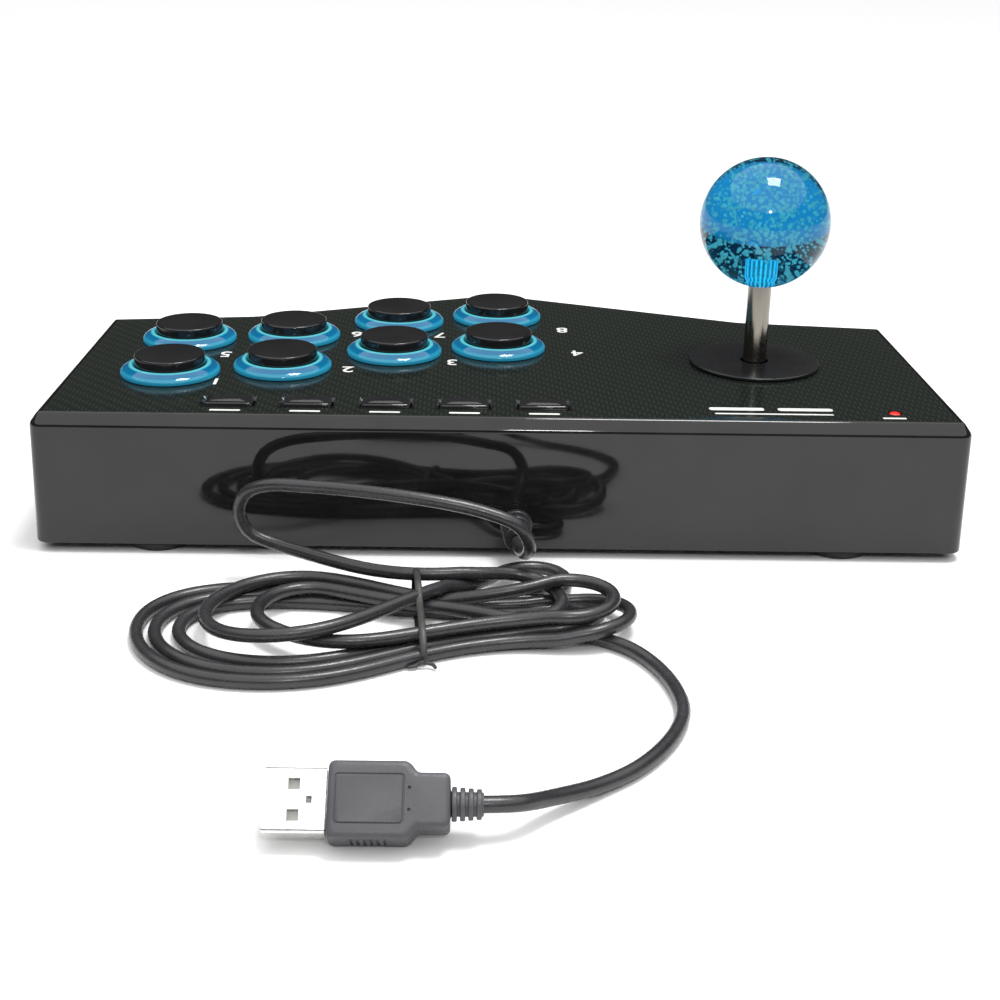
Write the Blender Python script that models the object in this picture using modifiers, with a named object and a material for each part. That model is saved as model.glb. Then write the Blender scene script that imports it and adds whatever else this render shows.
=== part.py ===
"""Desktop arcade joystick panel: a shallow case with a ball-top lever, eight round buttons, five function keys
and a USB lead that is folded into a hank.

Metres, +Z up. The feet stand on Z = 0 and the origin is under the middle of the case. The player sits at -Y, and
the tall rear wall, with the lead, faces +Y. The lever is on the -X side.
"""

import math

import bmesh
import bpy
from mathutils import Matrix, Vector

# Clearance kept between pieces that touch.
GAP = 0.0003

# Case outline: a rear edge, two short sides and a shallow point towards the player. Depths run from the rear wall.
REAR_HALF_WIDTH = 0.1180
FRONT_HALF_WIDTH = 0.1165
BEND_HALF_WIDTH = 0.0735
SIDE_DEPTH = 0.0898
BEND_DEPTH = 0.0954
CASE_DEPTH = 0.1235
REAR_Y = CASE_DEPTH / 2
CORNER_RADIUS = 0.0030
BEND_RADIUS = 0.0090
POINT_RADIUS = 0.0120
CORNER_STEPS = 4

# Case heights.
FOOT_HEIGHT = 0.0025
DECK_TOP = 0.0370
EDGE_HEIGHT = 0.0029
EDGE_WIDTH = 0.0022
DRAFT = 0.0006
WALL = 0.0022
DECK_UNDERSIDE = 0.0340
OVERLAY_THICKNESS = 0.0006
OVERLAY_INSET = 0.0030
RECESS_FLOOR = DECK_TOP - OVERLAY_THICKNESS - GAP
BASE_TOP = 0.0047

# Feet, bosses and screws.
FOOT_RADIUS = 0.0090
FEET = {
    "rear_left": (0.0880, 0.0525),
    "rear_right": (-0.0880, 0.0525),
    "front_left": (0.0880, -0.0180),
    "front_right": (-0.0880, -0.0180),
}
BOSSES = ((0.1070, 0.0460), (-0.1070, 0.0460), (0.1050, -0.0190), (-0.1050, -0.0190))
BOSS_RADIUS = 0.0036
SCREW_RADIUS = 0.0013
SCREW_HEAD_RADIUS = 0.0027
SCREW_TOP = 0.0140

# Buttons: (x, y of the rear one, y of the front one) for each column.
BUTTON_COLUMNS = (
    (0.0885, 0.0258, -0.0058),
    (0.0590, 0.0198, -0.0100),
    (0.0293, 0.0050, -0.0262),
    (0.0000, -0.0002, -0.0328),
)
RIM_RADIUS = 0.0133
BARREL_RADIUS = 0.0117
BUTTON_HOLE_RADIUS = BARREL_RADIUS + GAP
BORE_RADIUS = 0.0098
BARREL_DEPTH = 0.0140
PLUNGER_RADIUS = 0.0094
PLUNGER_RISE = 0.0054
SWITCH_SIZE = (0.0120, 0.0060, 0.0065)
ROUND_STEPS = 20

# Function keys, in one row along the rear edge.
KEY_COUNT = 5
KEY_FIRST_X = 0.0694
KEY_PITCH = 0.02005
KEY_Y = 0.0500
KEY_SIZE = (0.0124, 0.0056)
KEY_CROWN = 0.0012
KEY_FLANGE = (0.0142, 0.0074)
KEY_BOTTOM = 0.0316
OVERLAY_SLOT = (0.0145, 0.0080)

# Control board under the keys, and its status lamp.
BOARD_X = (-0.1025, 0.0800)
BOARD_Y = (0.0425, 0.0570)
BOARD_Z = (0.0270, 0.0286)
TACT_TOP = 0.0306
LED_AT = (-0.1000, 0.0523)
LED_RADIUS = 0.0015

# Lever.
STICK_X = -0.0710
STICK_Y = 0.0107
PIVOT_Z = 0.0250
BALL_RADIUS = 0.0175
BALL_Z = 0.0765
SHAFT_RADIUS = 0.0032
THREAD_RADIUS = 0.0024
SHAFT_BOTTOM = 0.0054
STICK_HOLE_RADIUS = 0.0105
DISC_RADIUS = 0.01785
DISC_Z = (DECK_TOP + GAP, DECK_TOP + 0.0011)
SLIDER_Z = (0.0331, DECK_UNDERSIDE - GAP)
HOUSING_Z = (0.0138, 0.0337)
SWITCH_BOARD_Z = (0.0073, 0.0087)
GATE_Z = (0.0050, 0.0070)

# USB lead.
CORD_RADIUS = 0.0016
GLAND_AT = (-0.0042, 0.0095)
GLAND_TIP_Y = 0.0736
CORD_SPACING = 0.0080
LEAD_ROUTE = (
    (-0.0042, 0.0740, 0.0095),
    (-0.0043, 0.0790, 0.0101),
    (-0.0047, 0.0845, 0.0124),
    (-0.0036, 0.0886, 0.0160),
    (0.0015, 0.0898, 0.0202),
    (0.0124, 0.0890, 0.0240),
    (0.0245, 0.0873, 0.0264),
    (0.0361, 0.0850, 0.0272),
    (0.0480, 0.0820, 0.0270),
    (0.0572, 0.0796, 0.0252),
    (0.0622, 0.0772, 0.0206),
    (0.0600, 0.0764, 0.0150),
    (0.0545, 0.0775, 0.0110),
    (0.0495, 0.0795, 0.0088),
)
TAIL_ROUTE = (
    (-0.0270, 0.1140, 0.0020),
    (-0.0330, 0.1220, 0.0018),
    (-0.0366, 0.1330, 0.0018),
    (-0.0370, 0.1440, 0.0018),
    (-0.0330, 0.1550, 0.0018),
    (-0.0260, 0.1650, 0.0018),
    (-0.0175, 0.1725, 0.0022),
    (-0.0080, 0.1800, 0.0042),
    (-0.0020, 0.1855, 0.0065),
    (0.0040, 0.1871, 0.0072),
)
HANK_OUTLINE = (
    (0.0878, 0.1100),
    (0.0795, 0.1285),
    (0.0570, 0.1372),
    (0.0350, 0.1340),
    (0.0190, 0.1240),
    (-0.0080, 0.1180),
    (-0.0250, 0.1140),
    (-0.0350, 0.1010),
    (-0.0290, 0.0860),
    (-0.0120, 0.0874),
    (0.0060, 0.0880),
    (0.0250, 0.0868),
    (0.0500, 0.0838),
    (0.0780, 0.0870),
)
HANK_Z = (0.0014, 0.0110)
TIE_X = 0.0190
TIE_Y = (0.0860, 0.1254)
TIE_Z = (0.0008, 0.0117)
TIE_RADIUS = 0.0005

# USB plug, resting on one long edge of its moulding, with its broad face tipped towards +Y and up.
PLUG_CENTRE = (0.0217, 0.1872, 0.0072)
PLUG_ROLL = math.radians(42)
PLUG_FACE_X = 0.0110
PLUG_GRIP_HALF = 0.0071
PLUG_GRIP_LENGTH = 0.0146
PLUG_NECK_HALF = 0.0050
PLUG_NECK_LENGTH = 0.0059
PLUG_TAPER = 0.0016
PLUG_THICKNESS = 0.0072
PLUG_TAIL_LENGTH = 0.0060
PLUG_SHELL = (0.0113, 0.0120, 0.0045)
PLUG_SHELL_WALL = 0.0004

PARTS = "arcade_joystick_panel"
CUTTERS = "cutters"


def clear_scene():
    for obj in list(bpy.data.objects):
        bpy.data.objects.remove(obj, do_unlink=True)
    for name in (PARTS, CUTTERS):
        collection = bpy.data.collections.new(name)
        bpy.context.scene.collection.children.link(collection)


def material(name, colour, roughness, metallic=0.0):
    made = bpy.data.materials.get(name)
    if made:
        return made
    made = bpy.data.materials.new(name)
    made.use_nodes = True
    shader = made.node_tree.nodes["Principled BSDF"]
    shader.inputs["Base Color"].default_value = (*colour, 1.0)
    shader.inputs["Roughness"].default_value = roughness
    shader.inputs["Metallic"].default_value = metallic
    return made


def gloss_black():
    return material("gloss_black_abs", (0.012, 0.012, 0.013), 0.12)


def panel_black():
    return material("printed_panel", (0.018, 0.022, 0.019), 0.18)


def matte_black():
    return material("matte_black_abs", (0.02, 0.02, 0.02), 0.55)


def clear_blue():
    return material("clear_blue_acrylic", (0.0, 0.25, 0.55), 0.08)


def steel():
    return material("steel", (0.62, 0.60, 0.57), 0.22, 1.0)


def white_plastic():
    return material("white_nylon", (0.75, 0.75, 0.72), 0.45)


def board_green():
    return material("circuit_board", (0.02, 0.16, 0.06), 0.45)


def soft_black():
    return material("black_pvc", (0.022, 0.022, 0.024), 0.42)


def rubber():
    return material("foot_rubber", (0.015, 0.015, 0.015), 0.8)


def lamp_red():
    return material("red_lamp", (0.75, 0.03, 0.02), 0.2)


def link(obj, finish=None):
    """Puts an object with the parts, or with the cutters when it has no finish."""
    if finish:
        obj.data.materials.append(finish)
        bpy.data.collections[PARTS].objects.link(obj)
    else:
        obj.hide_render = True
        obj.display_type = "WIRE"
        bpy.data.collections[CUTTERS].objects.link(obj)
    return obj


def smooth(obj):
    obj.data.shade_smooth()
    obj.data.set_sharp_from_angle(angle=math.radians(35))


def turned(name, profile, finish=None, at=(0, 0, 0), steps=ROUND_STEPS, ring=False):
    """A solid of revolution about Z. The (radius, height) profile runs down the outer side, and a ring's closes."""
    mesh = bpy.data.meshes.new(name)
    edges = [(i, i + 1) for i in range(len(profile) - 1)]
    if ring:
        edges.append((len(profile) - 1, 0))
    mesh.from_pydata([(radius, 0, height) for radius, height in profile], edges, [])
    obj = link(bpy.data.objects.new(name, mesh), finish)
    obj.location = at
    screw = obj.modifiers.new("turn", "SCREW")
    screw.axis = "Z"
    screw.steps = steps
    screw.render_steps = steps
    screw.use_merge_vertices = True
    screw.merge_threshold = 0.00001
    return obj


def applied(obj):
    """Replaces an object's mesh with its evaluated one, so that it can be transformed and cut."""
    bpy.context.view_layer.update()
    graph = bpy.context.evaluated_depsgraph_get()
    mesh = bpy.data.meshes.new_from_object(obj.evaluated_get(graph))
    obj.modifiers.clear()
    obj.data = mesh
    return obj


def box(name, size, centre, finish=None, bevel=0.0):
    bm = bmesh.new()
    bmesh.ops.create_cube(bm, size=1.0, matrix=Matrix.Diagonal((*size, 1.0)))
    mesh = bpy.data.meshes.new(name)
    bm.to_mesh(mesh)
    bm.free()
    obj = link(bpy.data.objects.new(name, mesh), finish)
    obj.location = centre
    if bevel:
        rounding = obj.modifiers.new("edges", "BEVEL")
        rounding.width = bevel
        rounding.segments = 2
    return obj


def cylinder_group(name, places, radius, low, high, steps=ROUND_STEPS, axis="Z"):
    """One cutter made of a cylinder at each place. Along X the place is (y, z), and low and high are along X."""
    bm = bmesh.new()
    for first, second in places:
        centre = Vector((first, second, (low + high) / 2))
        turn = Matrix.Identity(4)
        if axis == "X":
            centre = Vector(((low + high) / 2, first, second))
            turn = Matrix.Rotation(math.pi / 2, 4, "Y")
        bmesh.ops.create_cone(
            bm,
            cap_ends=True,
            segments=steps,
            radius1=radius,
            radius2=radius,
            depth=high - low,
            matrix=Matrix.Translation(centre) @ turn,
        )
    mesh = bpy.data.meshes.new(name)
    bm.to_mesh(mesh)
    bm.free()
    return link(bpy.data.objects.new(name, mesh))


def box_group(name, boxes):
    """One cutter made of several separate boxes, each a (size, centre) pair."""
    bm = bmesh.new()
    for size, centre in boxes:
        place = Matrix.Translation(centre) @ Matrix.Diagonal((*size, 1.0))
        bmesh.ops.create_cube(bm, size=1.0, matrix=place)
    mesh = bpy.data.meshes.new(name)
    bm.to_mesh(mesh)
    bm.free()
    return link(bpy.data.objects.new(name, mesh))


def combine(obj, other, operation):
    step = obj.modifiers.new(f"{operation.lower()}_{other.name}", "BOOLEAN")
    step.operation = operation
    step.object = other
    return obj


def cut(obj, cutter):
    return combine(obj, cutter, "DIFFERENCE")


def join(obj, other):
    return combine(obj, other, "UNION")


def case_corners():
    """The corners of the case outline, anticlockwise from above, each with its rounding radius."""
    slope = math.atan2(CASE_DEPTH - BEND_DEPTH, BEND_HALF_WIDTH)
    point_depth = CASE_DEPTH + POINT_RADIUS * (1 / math.cos(slope) - 1)
    right = [
        (REAR_HALF_WIDTH, 0.0, CORNER_RADIUS),
        (FRONT_HALF_WIDTH, SIDE_DEPTH, CORNER_RADIUS),
        (BEND_HALF_WIDTH, BEND_DEPTH, BEND_RADIUS),
    ]
    loop = [(-x, depth, radius) for x, depth, radius in right]
    loop.append((0.0, point_depth, POINT_RADIUS))
    loop += reversed(right)
    return [(Vector((x, REAR_Y - depth)), radius) for x, depth, radius in loop]


def case_outline(inset):
    """Points of the case outline moved inwards by inset, with every corner an arc."""
    corners = case_corners()
    count = len(corners)
    points = []
    for i, (corner, radius) in enumerate(corners):
        before = (corner - corners[i - 1][0]).normalized()
        after = (corners[(i + 1) % count][0] - corner).normalized()
        inward = (Vector((-before.y, before.x)) + Vector((-after.y, after.x))).normalized()
        half_turn = before.angle(after) / 2
        corner = corner + inward * (inset / math.cos(half_turn))
        radius = max(radius - inset, 0.0006)
        centre = corner + inward * (radius / math.cos(half_turn))
        start = math.atan2(-inward.y, -inward.x) - half_turn
        for step in range(CORNER_STEPS + 1):
            angle = start + 2 * half_turn * step / CORNER_STEPS
            points.append(centre + radius * Vector((math.cos(angle), math.sin(angle))))
    return points


def case_solid(name, sections, finish=None):
    """A closed solid with the case's outline, through (inset, height) sections from bottom to top."""
    bm = bmesh.new()
    rings = [[bm.verts.new((*p, height)) for p in case_outline(inset)] for inset, height in sections]
    count = len(rings[0])
    for lower, upper in zip(rings, rings[1:]):
        for i in range(count):
            j = (i + 1) % count
            bm.faces.new((lower[i], lower[j], upper[j], upper[i]))
    bm.faces.new(reversed(rings[0]))
    bm.faces.new(rings[-1])
    mesh = bpy.data.meshes.new(name)
    bm.to_mesh(mesh)
    bm.free()
    return link(bpy.data.objects.new(name, mesh), finish)


def button_places():
    """Centres of the eight buttons: the rear row, then the front row."""
    rear = [(x, rear_y) for x, rear_y, _ in BUTTON_COLUMNS]
    front = [(x, front_y) for x, _, front_y in BUTTON_COLUMNS]
    return rear + front


def key_places():
    return [KEY_FIRST_X - KEY_PITCH * i for i in range(KEY_COUNT)]


def slot_group(name, size, low, high):
    """Slots of one size over all the function keys."""
    centre_z = (low + high) / 2
    slots = [((*size, high - low), (x, KEY_Y, centre_z)) for x in key_places()]
    return box_group(name, slots)


def make_top_shell():
    """The upper case: rear wall, skirt and deck in one moulding, open underneath."""
    shoulder = DECK_TOP - EDGE_HEIGHT
    inner_shoulder = DECK_UNDERSIDE - EDGE_HEIGHT
    shell = case_solid(
        "top_shell",
        ((-DRAFT, FOOT_HEIGHT), (0.0, shoulder), (EDGE_WIDTH, DECK_TOP)),
        gloss_black(),
    )
    cavity = case_solid(
        "case_cavity",
        ((WALL, 0.0), (WALL, inner_shoulder), (WALL + EDGE_WIDTH, DECK_UNDERSIDE)),
    )
    cut(shell, cavity)
    cut(shell, case_solid("overlay_recess", ((OVERLAY_INSET - GAP, RECESS_FLOOR), (OVERLAY_INSET - GAP, 0.05))))
    boss_bottom = BASE_TOP + GAP
    join(shell, cylinder_group("boss_posts", BOSSES, BOSS_RADIUS, boss_bottom, DECK_UNDERSIDE + 0.001, 16))
    pilot_radius = SCREW_RADIUS + GAP
    cut(shell, cylinder_group("boss_pilots", BOSSES, pilot_radius, 0.0, SCREW_TOP + 0.001, 12))
    through = (DECK_UNDERSIDE - 0.002, DECK_TOP + 0.002)
    cut(shell, cylinder_group("button_holes", button_places(), BUTTON_HOLE_RADIUS, *through))
    cut(shell, cylinder_group("stick_hole", ((STICK_X, STICK_Y),), STICK_HOLE_RADIUS, *through))
    cut(shell, cylinder_group("lamp_hole", (LED_AT,), LED_RADIUS + GAP, *through, 12))
    key_hole = (KEY_SIZE[0] + 2 * GAP, KEY_SIZE[1] + 2 * GAP)
    cut(shell, slot_group("key_holes", key_hole, *through))
    gland_hole = cylinder_group("gland_hole", ((0.0, 0.0),), 0.0036, -0.004, 0.004, 16)
    gland_hole.rotation_euler = (math.pi / 2, 0, 0)
    gland_hole.location = (GLAND_AT[0], REAR_Y - WALL / 2, GLAND_AT[1])
    cut(shell, gland_hole)


def make_panel_overlay():
    """The printed sheet let into the deck."""
    overlay = case_solid(
        "panel_overlay",
        ((OVERLAY_INSET, DECK_TOP - OVERLAY_THICKNESS), (OVERLAY_INSET, DECK_TOP)),
        panel_black(),
    )
    through = (DECK_TOP - 0.002, DECK_TOP + 0.002)
    cut(overlay, cylinder_group("overlay_button_holes", button_places(), BUTTON_HOLE_RADIUS, *through))
    cut(overlay, cylinder_group("overlay_stick_hole", ((STICK_X, STICK_Y),), STICK_HOLE_RADIUS, *through))
    cut(overlay, cylinder_group("overlay_lamp_hole", (LED_AT,), LED_RADIUS + GAP, *through, 12))
    cut(overlay, slot_group("overlay_key_slots", OVERLAY_SLOT, *through))


def make_base_plate():
    """The flat bottom cover, let in between the walls and held by four countersunk screws."""
    inset = WALL + GAP
    plate = case_solid("base_plate", ((inset, FOOT_HEIGHT), (inset, BASE_TOP)), matte_black())
    clearance = SCREW_RADIUS + GAP
    cut(plate, cylinder_group("screw_clearance", BOSSES, clearance, 0.0, 0.01, 12))
    cut(plate, cylinder_group("screw_counterbores", BOSSES, SCREW_HEAD_RADIUS + GAP, 0.0, 0.0040, 12))


def make_feet():
    for name, (x, y) in FEET.items():
        top = FOOT_HEIGHT - GAP
        profile = ((0, top), (FOOT_RADIUS - 0.0004, top), (FOOT_RADIUS, top - 0.0005), (FOOT_RADIUS - 0.0006, 0), (0, 0))
        smooth(applied(turned(f"foot_{name}", profile, rubber(), (x, y, 0))))


def make_case_screws():
    for i, (x, y) in enumerate(BOSSES, 1):
        head_top = 0.0037
        profile = (
            (0, SCREW_TOP),
            (SCREW_RADIUS - 0.0005, SCREW_TOP),
            (SCREW_RADIUS, SCREW_TOP - 0.0010),
            (SCREW_RADIUS, head_top),
            (SCREW_HEAD_RADIUS, head_top),
            (SCREW_HEAD_RADIUS, 0.0028),
            (0, 0.0028),
        )
        turned(f"case_screw_{i}", profile, steel(), (x, y, 0), steps=12)


def make_button(number, x, y):
    """A snap-in button: the clear rim with its barrel, the plunger, and the microswitch under it."""
    rim_profile = (
        (BORE_RADIUS, 0.0022),
        (0.0106, 0.0028),
        (0.0124, 0.0020),
        (RIM_RADIUS, 0.0008),
        (RIM_RADIUS, GAP),
        (BARREL_RADIUS, GAP),
        (BARREL_RADIUS, -BARREL_DEPTH),
        (0.0040, -BARREL_DEPTH),
        (0.0040, -BARREL_DEPTH + 0.0014),
        (BORE_RADIUS, -BARREL_DEPTH + 0.0014),
    )
    rim = turned(f"button_rim_{number}", rim_profile, clear_blue(), (x, y, DECK_TOP), ring=True)
    smooth(applied(rim))
    plunger_profile = (
        (0, PLUNGER_RISE),
        (PLUNGER_RADIUS - 0.0005, PLUNGER_RISE),
        (PLUNGER_RADIUS, PLUNGER_RISE - 0.0005),
        (PLUNGER_RADIUS, -0.0050),
        (0.0030, -0.0050),
        (0.0030, -0.0110),
        (0.0016, -0.0110),
        (0.0016, -BARREL_DEPTH - 0.0006),
        (0, -BARREL_DEPTH - 0.0006),
    )
    plunger = turned(f"button_plunger_{number}", plunger_profile, gloss_black(), (x, y, DECK_TOP))
    smooth(applied(plunger))
    switch_top = DECK_TOP - BARREL_DEPTH - GAP
    centre = (x, y, switch_top - SWITCH_SIZE[2] / 2)
    switch = box(f"button_switch_{number}", SWITCH_SIZE, centre, matte_black())
    well = cylinder_group(f"switch_well_{number}", ((x, y),), 0.0021, switch_top - 0.0042, switch_top + 0.001, 12)
    cut(switch, well)


def make_function_key(number, x):
    """A key with a crowned top, and a flange under the deck that keeps it in."""
    width, length = KEY_SIZE
    crown_edge = DECK_TOP + 0.0004
    points = [(-width / 2, KEY_BOTTOM + 0.001), (width / 2, KEY_BOTTOM + 0.001), (width / 2, crown_edge)]
    steps = 8
    for step in range(1, steps):
        across = 1 - 2 * step / steps
        points.append((across * width / 2, crown_edge + KEY_CROWN * (1 - across * across)))
    points.append((-width / 2, crown_edge))
    bm = bmesh.new()
    front = [bm.verts.new((px, -length / 2, pz)) for px, pz in points]
    face = bm.faces.new(front)
    back = bmesh.ops.extrude_face_region(bm, geom=[face])["geom"]
    bmesh.ops.translate(bm, vec=(0, length, 0), verts=[v for v in back if isinstance(v, bmesh.types.BMVert)])
    bmesh.ops.recalc_face_normals(bm, faces=bm.faces)
    mesh = bpy.data.meshes.new(f"function_key_{number}")
    bm.to_mesh(mesh)
    bm.free()
    key = link(bpy.data.objects.new(f"function_key_{number}", mesh), gloss_black())
    key.location = (x, KEY_Y, 0)
    flange_top = DECK_UNDERSIDE - GAP
    centre_z = (KEY_BOTTOM + flange_top) / 2
    flange = box_group(f"key_flange_{number}", (((*KEY_FLANGE, flange_top - KEY_BOTTOM), (x, KEY_Y, centre_z)),))
    join(key, flange)


def make_control_board():
    """The circuit board with one tact switch under each function key."""
    size = (BOARD_X[1] - BOARD_X[0], BOARD_Y[1] - BOARD_Y[0], BOARD_Z[1] - BOARD_Z[0])
    centre = [(low + high) / 2 for low, high in (BOARD_X, BOARD_Y, BOARD_Z)]
    board = box("control_board", size, centre, board_green())
    tact_height = TACT_TOP - BOARD_Z[1] + 0.0004
    tacts = [((0.006, 0.006, tact_height), (x, KEY_Y, TACT_TOP - tact_height / 2)) for x in key_places()]
    join(board, box_group("tact_switches", tacts))


def make_status_led():
    profile = (
        (0, DECK_TOP + 0.0002),
        (LED_RADIUS - 0.0004, DECK_TOP + 0.0001),
        (LED_RADIUS, DECK_TOP - 0.0005),
        (LED_RADIUS, BOARD_Z[1] + 0.0012),
        (LED_RADIUS + 0.0003, BOARD_Z[1] + 0.0012),
        (LED_RADIUS + 0.0003, BOARD_Z[1] + GAP),
        (0, BOARD_Z[1] + GAP),
    )
    smooth(applied(turned("status_led", profile, lamp_red(), (*LED_AT, 0), steps=12)))


def make_ball():
    """The clear ball, with a blind hole underneath for its threaded insert."""
    hole_radius = 0.0046
    mouth = math.asin(hole_radius / BALL_RADIUS)
    steps = 14
    profile = []
    for step in range(steps + 1):
        angle = (math.pi - mouth) * step / steps
        profile.append((BALL_RADIUS * math.sin(angle), BALL_RADIUS * math.cos(angle)))
    profile += [(hole_radius, -0.0070), (0, -0.0070)]
    smooth(applied(turned("ball_top", profile, clear_blue(), (STICK_X, STICK_Y, BALL_Z), steps=28)))
    insert = ((0.0043, -0.0073), (0.0043, -0.0165), (THREAD_RADIUS + GAP, -0.0165), (THREAD_RADIUS + GAP, -0.0073))
    turned("ball_insert", insert, steel(), (STICK_X, STICK_Y, BALL_Z), steps=16, ring=True)


def make_shaft():
    """The lever's steel shaft: its thread goes up into the insert and a cross pin carries it in the gimbal."""
    shoulder = BALL_Z - 0.0168
    profile = (
        (0, BALL_Z - 0.0076),
        (THREAD_RADIUS, BALL_Z - 0.0076),
        (THREAD_RADIUS, shoulder),
        (SHAFT_RADIUS, shoulder),
        (SHAFT_RADIUS, 0.0200),
        (THREAD_RADIUS, 0.0200),
        (THREAD_RADIUS, SHAFT_BOTTOM),
        (0, SHAFT_BOTTOM),
    )
    shaft = applied(turned("stick_shaft", profile, steel(), (STICK_X, STICK_Y, 0), steps=20))
    smooth(shaft)
    pin = cylinder_group("cross_pin", ((0, 0),), 0.0011, -0.0064, 0.0064, 12)
    pin.rotation_euler = (math.pi / 2, 0, 0)
    pin.location = (STICK_X, STICK_Y, PIVOT_Z)
    join(shaft, pin)


def make_gimbal():
    """The ring that the lever tilts in, with trunnions along X into the housing."""
    half = 0.0024
    profile = ((0.0075, half), (0.0075, -half), (0.0044, -half), (0.0044, half))
    ring = applied(turned("stick_gimbal", profile, white_plastic(), (STICK_X, STICK_Y, PIVOT_Z), steps=24, ring=True))
    for side, name in ((1, "trunnion_left"), (-1, "trunnion_right")):
        ends = sorted((STICK_X + side * 0.0070, STICK_X + side * 0.0128))
        join(ring, cylinder_group(name, ((STICK_Y, PIVOT_Z),), 0.0015, *ends, 12, axis="X"))
    hole = cylinder_group("gimbal_pin_hole", ((0, 0),), 0.0014, -0.01, 0.01, 12)
    hole.rotation_euler = (math.pi / 2, 0, 0)
    hole.location = (STICK_X, STICK_Y, PIVOT_Z)
    cut(ring, hole)


def make_housing():
    """The lever's housing, hung from the deck by its flange."""
    flange_bottom = HOUSING_Z[1] - 0.0024
    size = (0.0460, 0.0400, HOUSING_Z[1] - flange_bottom)
    centre = (STICK_X, STICK_Y, (flange_bottom + HOUSING_Z[1]) / 2)
    housing = box("stick_housing", size, centre, matte_black())
    block_top = flange_bottom + 0.0004
    block = ((0.0320, 0.0320, block_top - HOUSING_Z[0]), (STICK_X, STICK_Y, (block_top + HOUSING_Z[0]) / 2))
    join(housing, box_group("housing_block", (block,)))
    middle = ((STICK_X, STICK_Y),)
    cut(housing, cylinder_group("slider_seat", middle, 0.0155, SLIDER_Z[0] - GAP, 0.04, 24))
    cut(housing, cylinder_group("lever_bore", middle, 0.0092, 0.0, 0.04, 24))
    cut(housing, cylinder_group("spring_room", middle, 0.0124, 0.0, 0.0205, 24))
    ends = (STICK_X - 0.0132, STICK_X + 0.0132)
    cut(housing, cylinder_group("trunnion_bores", ((STICK_Y, PIVOT_Z),), 0.0018, *ends, 12, axis="X"))


def make_actuator():
    profile = ((0.0050, 0.0132), (0.0050, 0.0092), (THREAD_RADIUS + GAP, 0.0092), (THREAD_RADIUS + GAP, 0.0132))
    turned("stick_actuator", profile, white_plastic(), (STICK_X, STICK_Y, 0), steps=16, ring=True)


def make_centring_spring():
    """The coil spring round the shaft, between the gimbal and the actuator."""
    turns = 4
    steps = 10
    low = 0.0142
    high = 0.0196
    curve = bpy.data.curves.new("centring_spring", "CURVE")
    curve.dimensions = "3D"
    curve.bevel_depth = 0.00045
    curve.bevel_resolution = 1
    curve.use_fill_caps = True
    spline = curve.splines.new("POLY")
    count = turns * steps
    spline.points.add(count)
    for i, point in enumerate(spline.points):
        angle = 2 * math.pi * i / steps
        height = low + (high - low) * i / count
        point.co = (0.0056 * math.cos(angle), 0.0056 * math.sin(angle), height, 1)
    obj = link(bpy.data.objects.new("centring_spring", curve), steel())
    obj.location = (STICK_X, STICK_Y, 0)


def make_stick_switch_board():
    """The round-holed board under the housing, with one switch on each side of the actuator."""
    size = (0.0360, 0.0360, SWITCH_BOARD_Z[1] - SWITCH_BOARD_Z[0])
    board = box("stick_switch_board", size, (STICK_X, STICK_Y, sum(SWITCH_BOARD_Z) / 2), board_green())
    cut(board, cylinder_group("board_hole", ((STICK_X, STICK_Y),), 0.0078, 0.0, 0.02, 20))
    block_z = (SWITCH_BOARD_Z[1] - 0.0004, 0.0130)
    blocks = []
    for turn in range(4):
        angle = turn * math.pi / 2
        across = (0.0036, 0.0080) if turn % 2 == 0 else (0.0080, 0.0036)
        centre = (STICK_X + 0.0102 * math.cos(angle), STICK_Y + 0.0102 * math.sin(angle), sum(block_z) / 2)
        blocks.append(((*across, block_z[1] - block_z[0]), centre))
    join(board, box_group("direction_switches", blocks))


def make_restrictor_gate():
    size = (0.0360, 0.0360, GATE_Z[1] - GATE_Z[0])
    gate = box("restrictor_gate", size, (STICK_X, STICK_Y, sum(GATE_Z) / 2), matte_black())
    opening = ((0.0136, 0.0136, 0.02), (STICK_X, STICK_Y, sum(GATE_Z) / 2))
    cut(gate, box_group("gate_opening", (opening,)))


def make_dust_cover():
    """The round disc on the panel, and the slotted slider under the deck that guides it across."""
    bore = 0.0038
    profile = ((DISC_RADIUS - 0.0004, DISC_Z[1]), (DISC_RADIUS, DISC_Z[0]), (bore, DISC_Z[0]), (bore, DISC_Z[1]))
    disc = turned("dust_disc", profile, gloss_black(), (STICK_X, STICK_Y, 0), steps=32, ring=True)
    smooth(applied(disc))
    rim = ((0, SLIDER_Z[1]), (0.0115, SLIDER_Z[1]), (0.0115, SLIDER_Z[0]), (0, SLIDER_Z[0]))
    slider = applied(turned("dust_slider", rim, matte_black(), (STICK_X, STICK_Y, 0), steps=24))
    slot = ((0.0090, 0.0112, 0.02), (STICK_X, STICK_Y, SLIDER_Z[0]))
    cut(slider, box_group("slider_slot", (slot,)))


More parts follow.
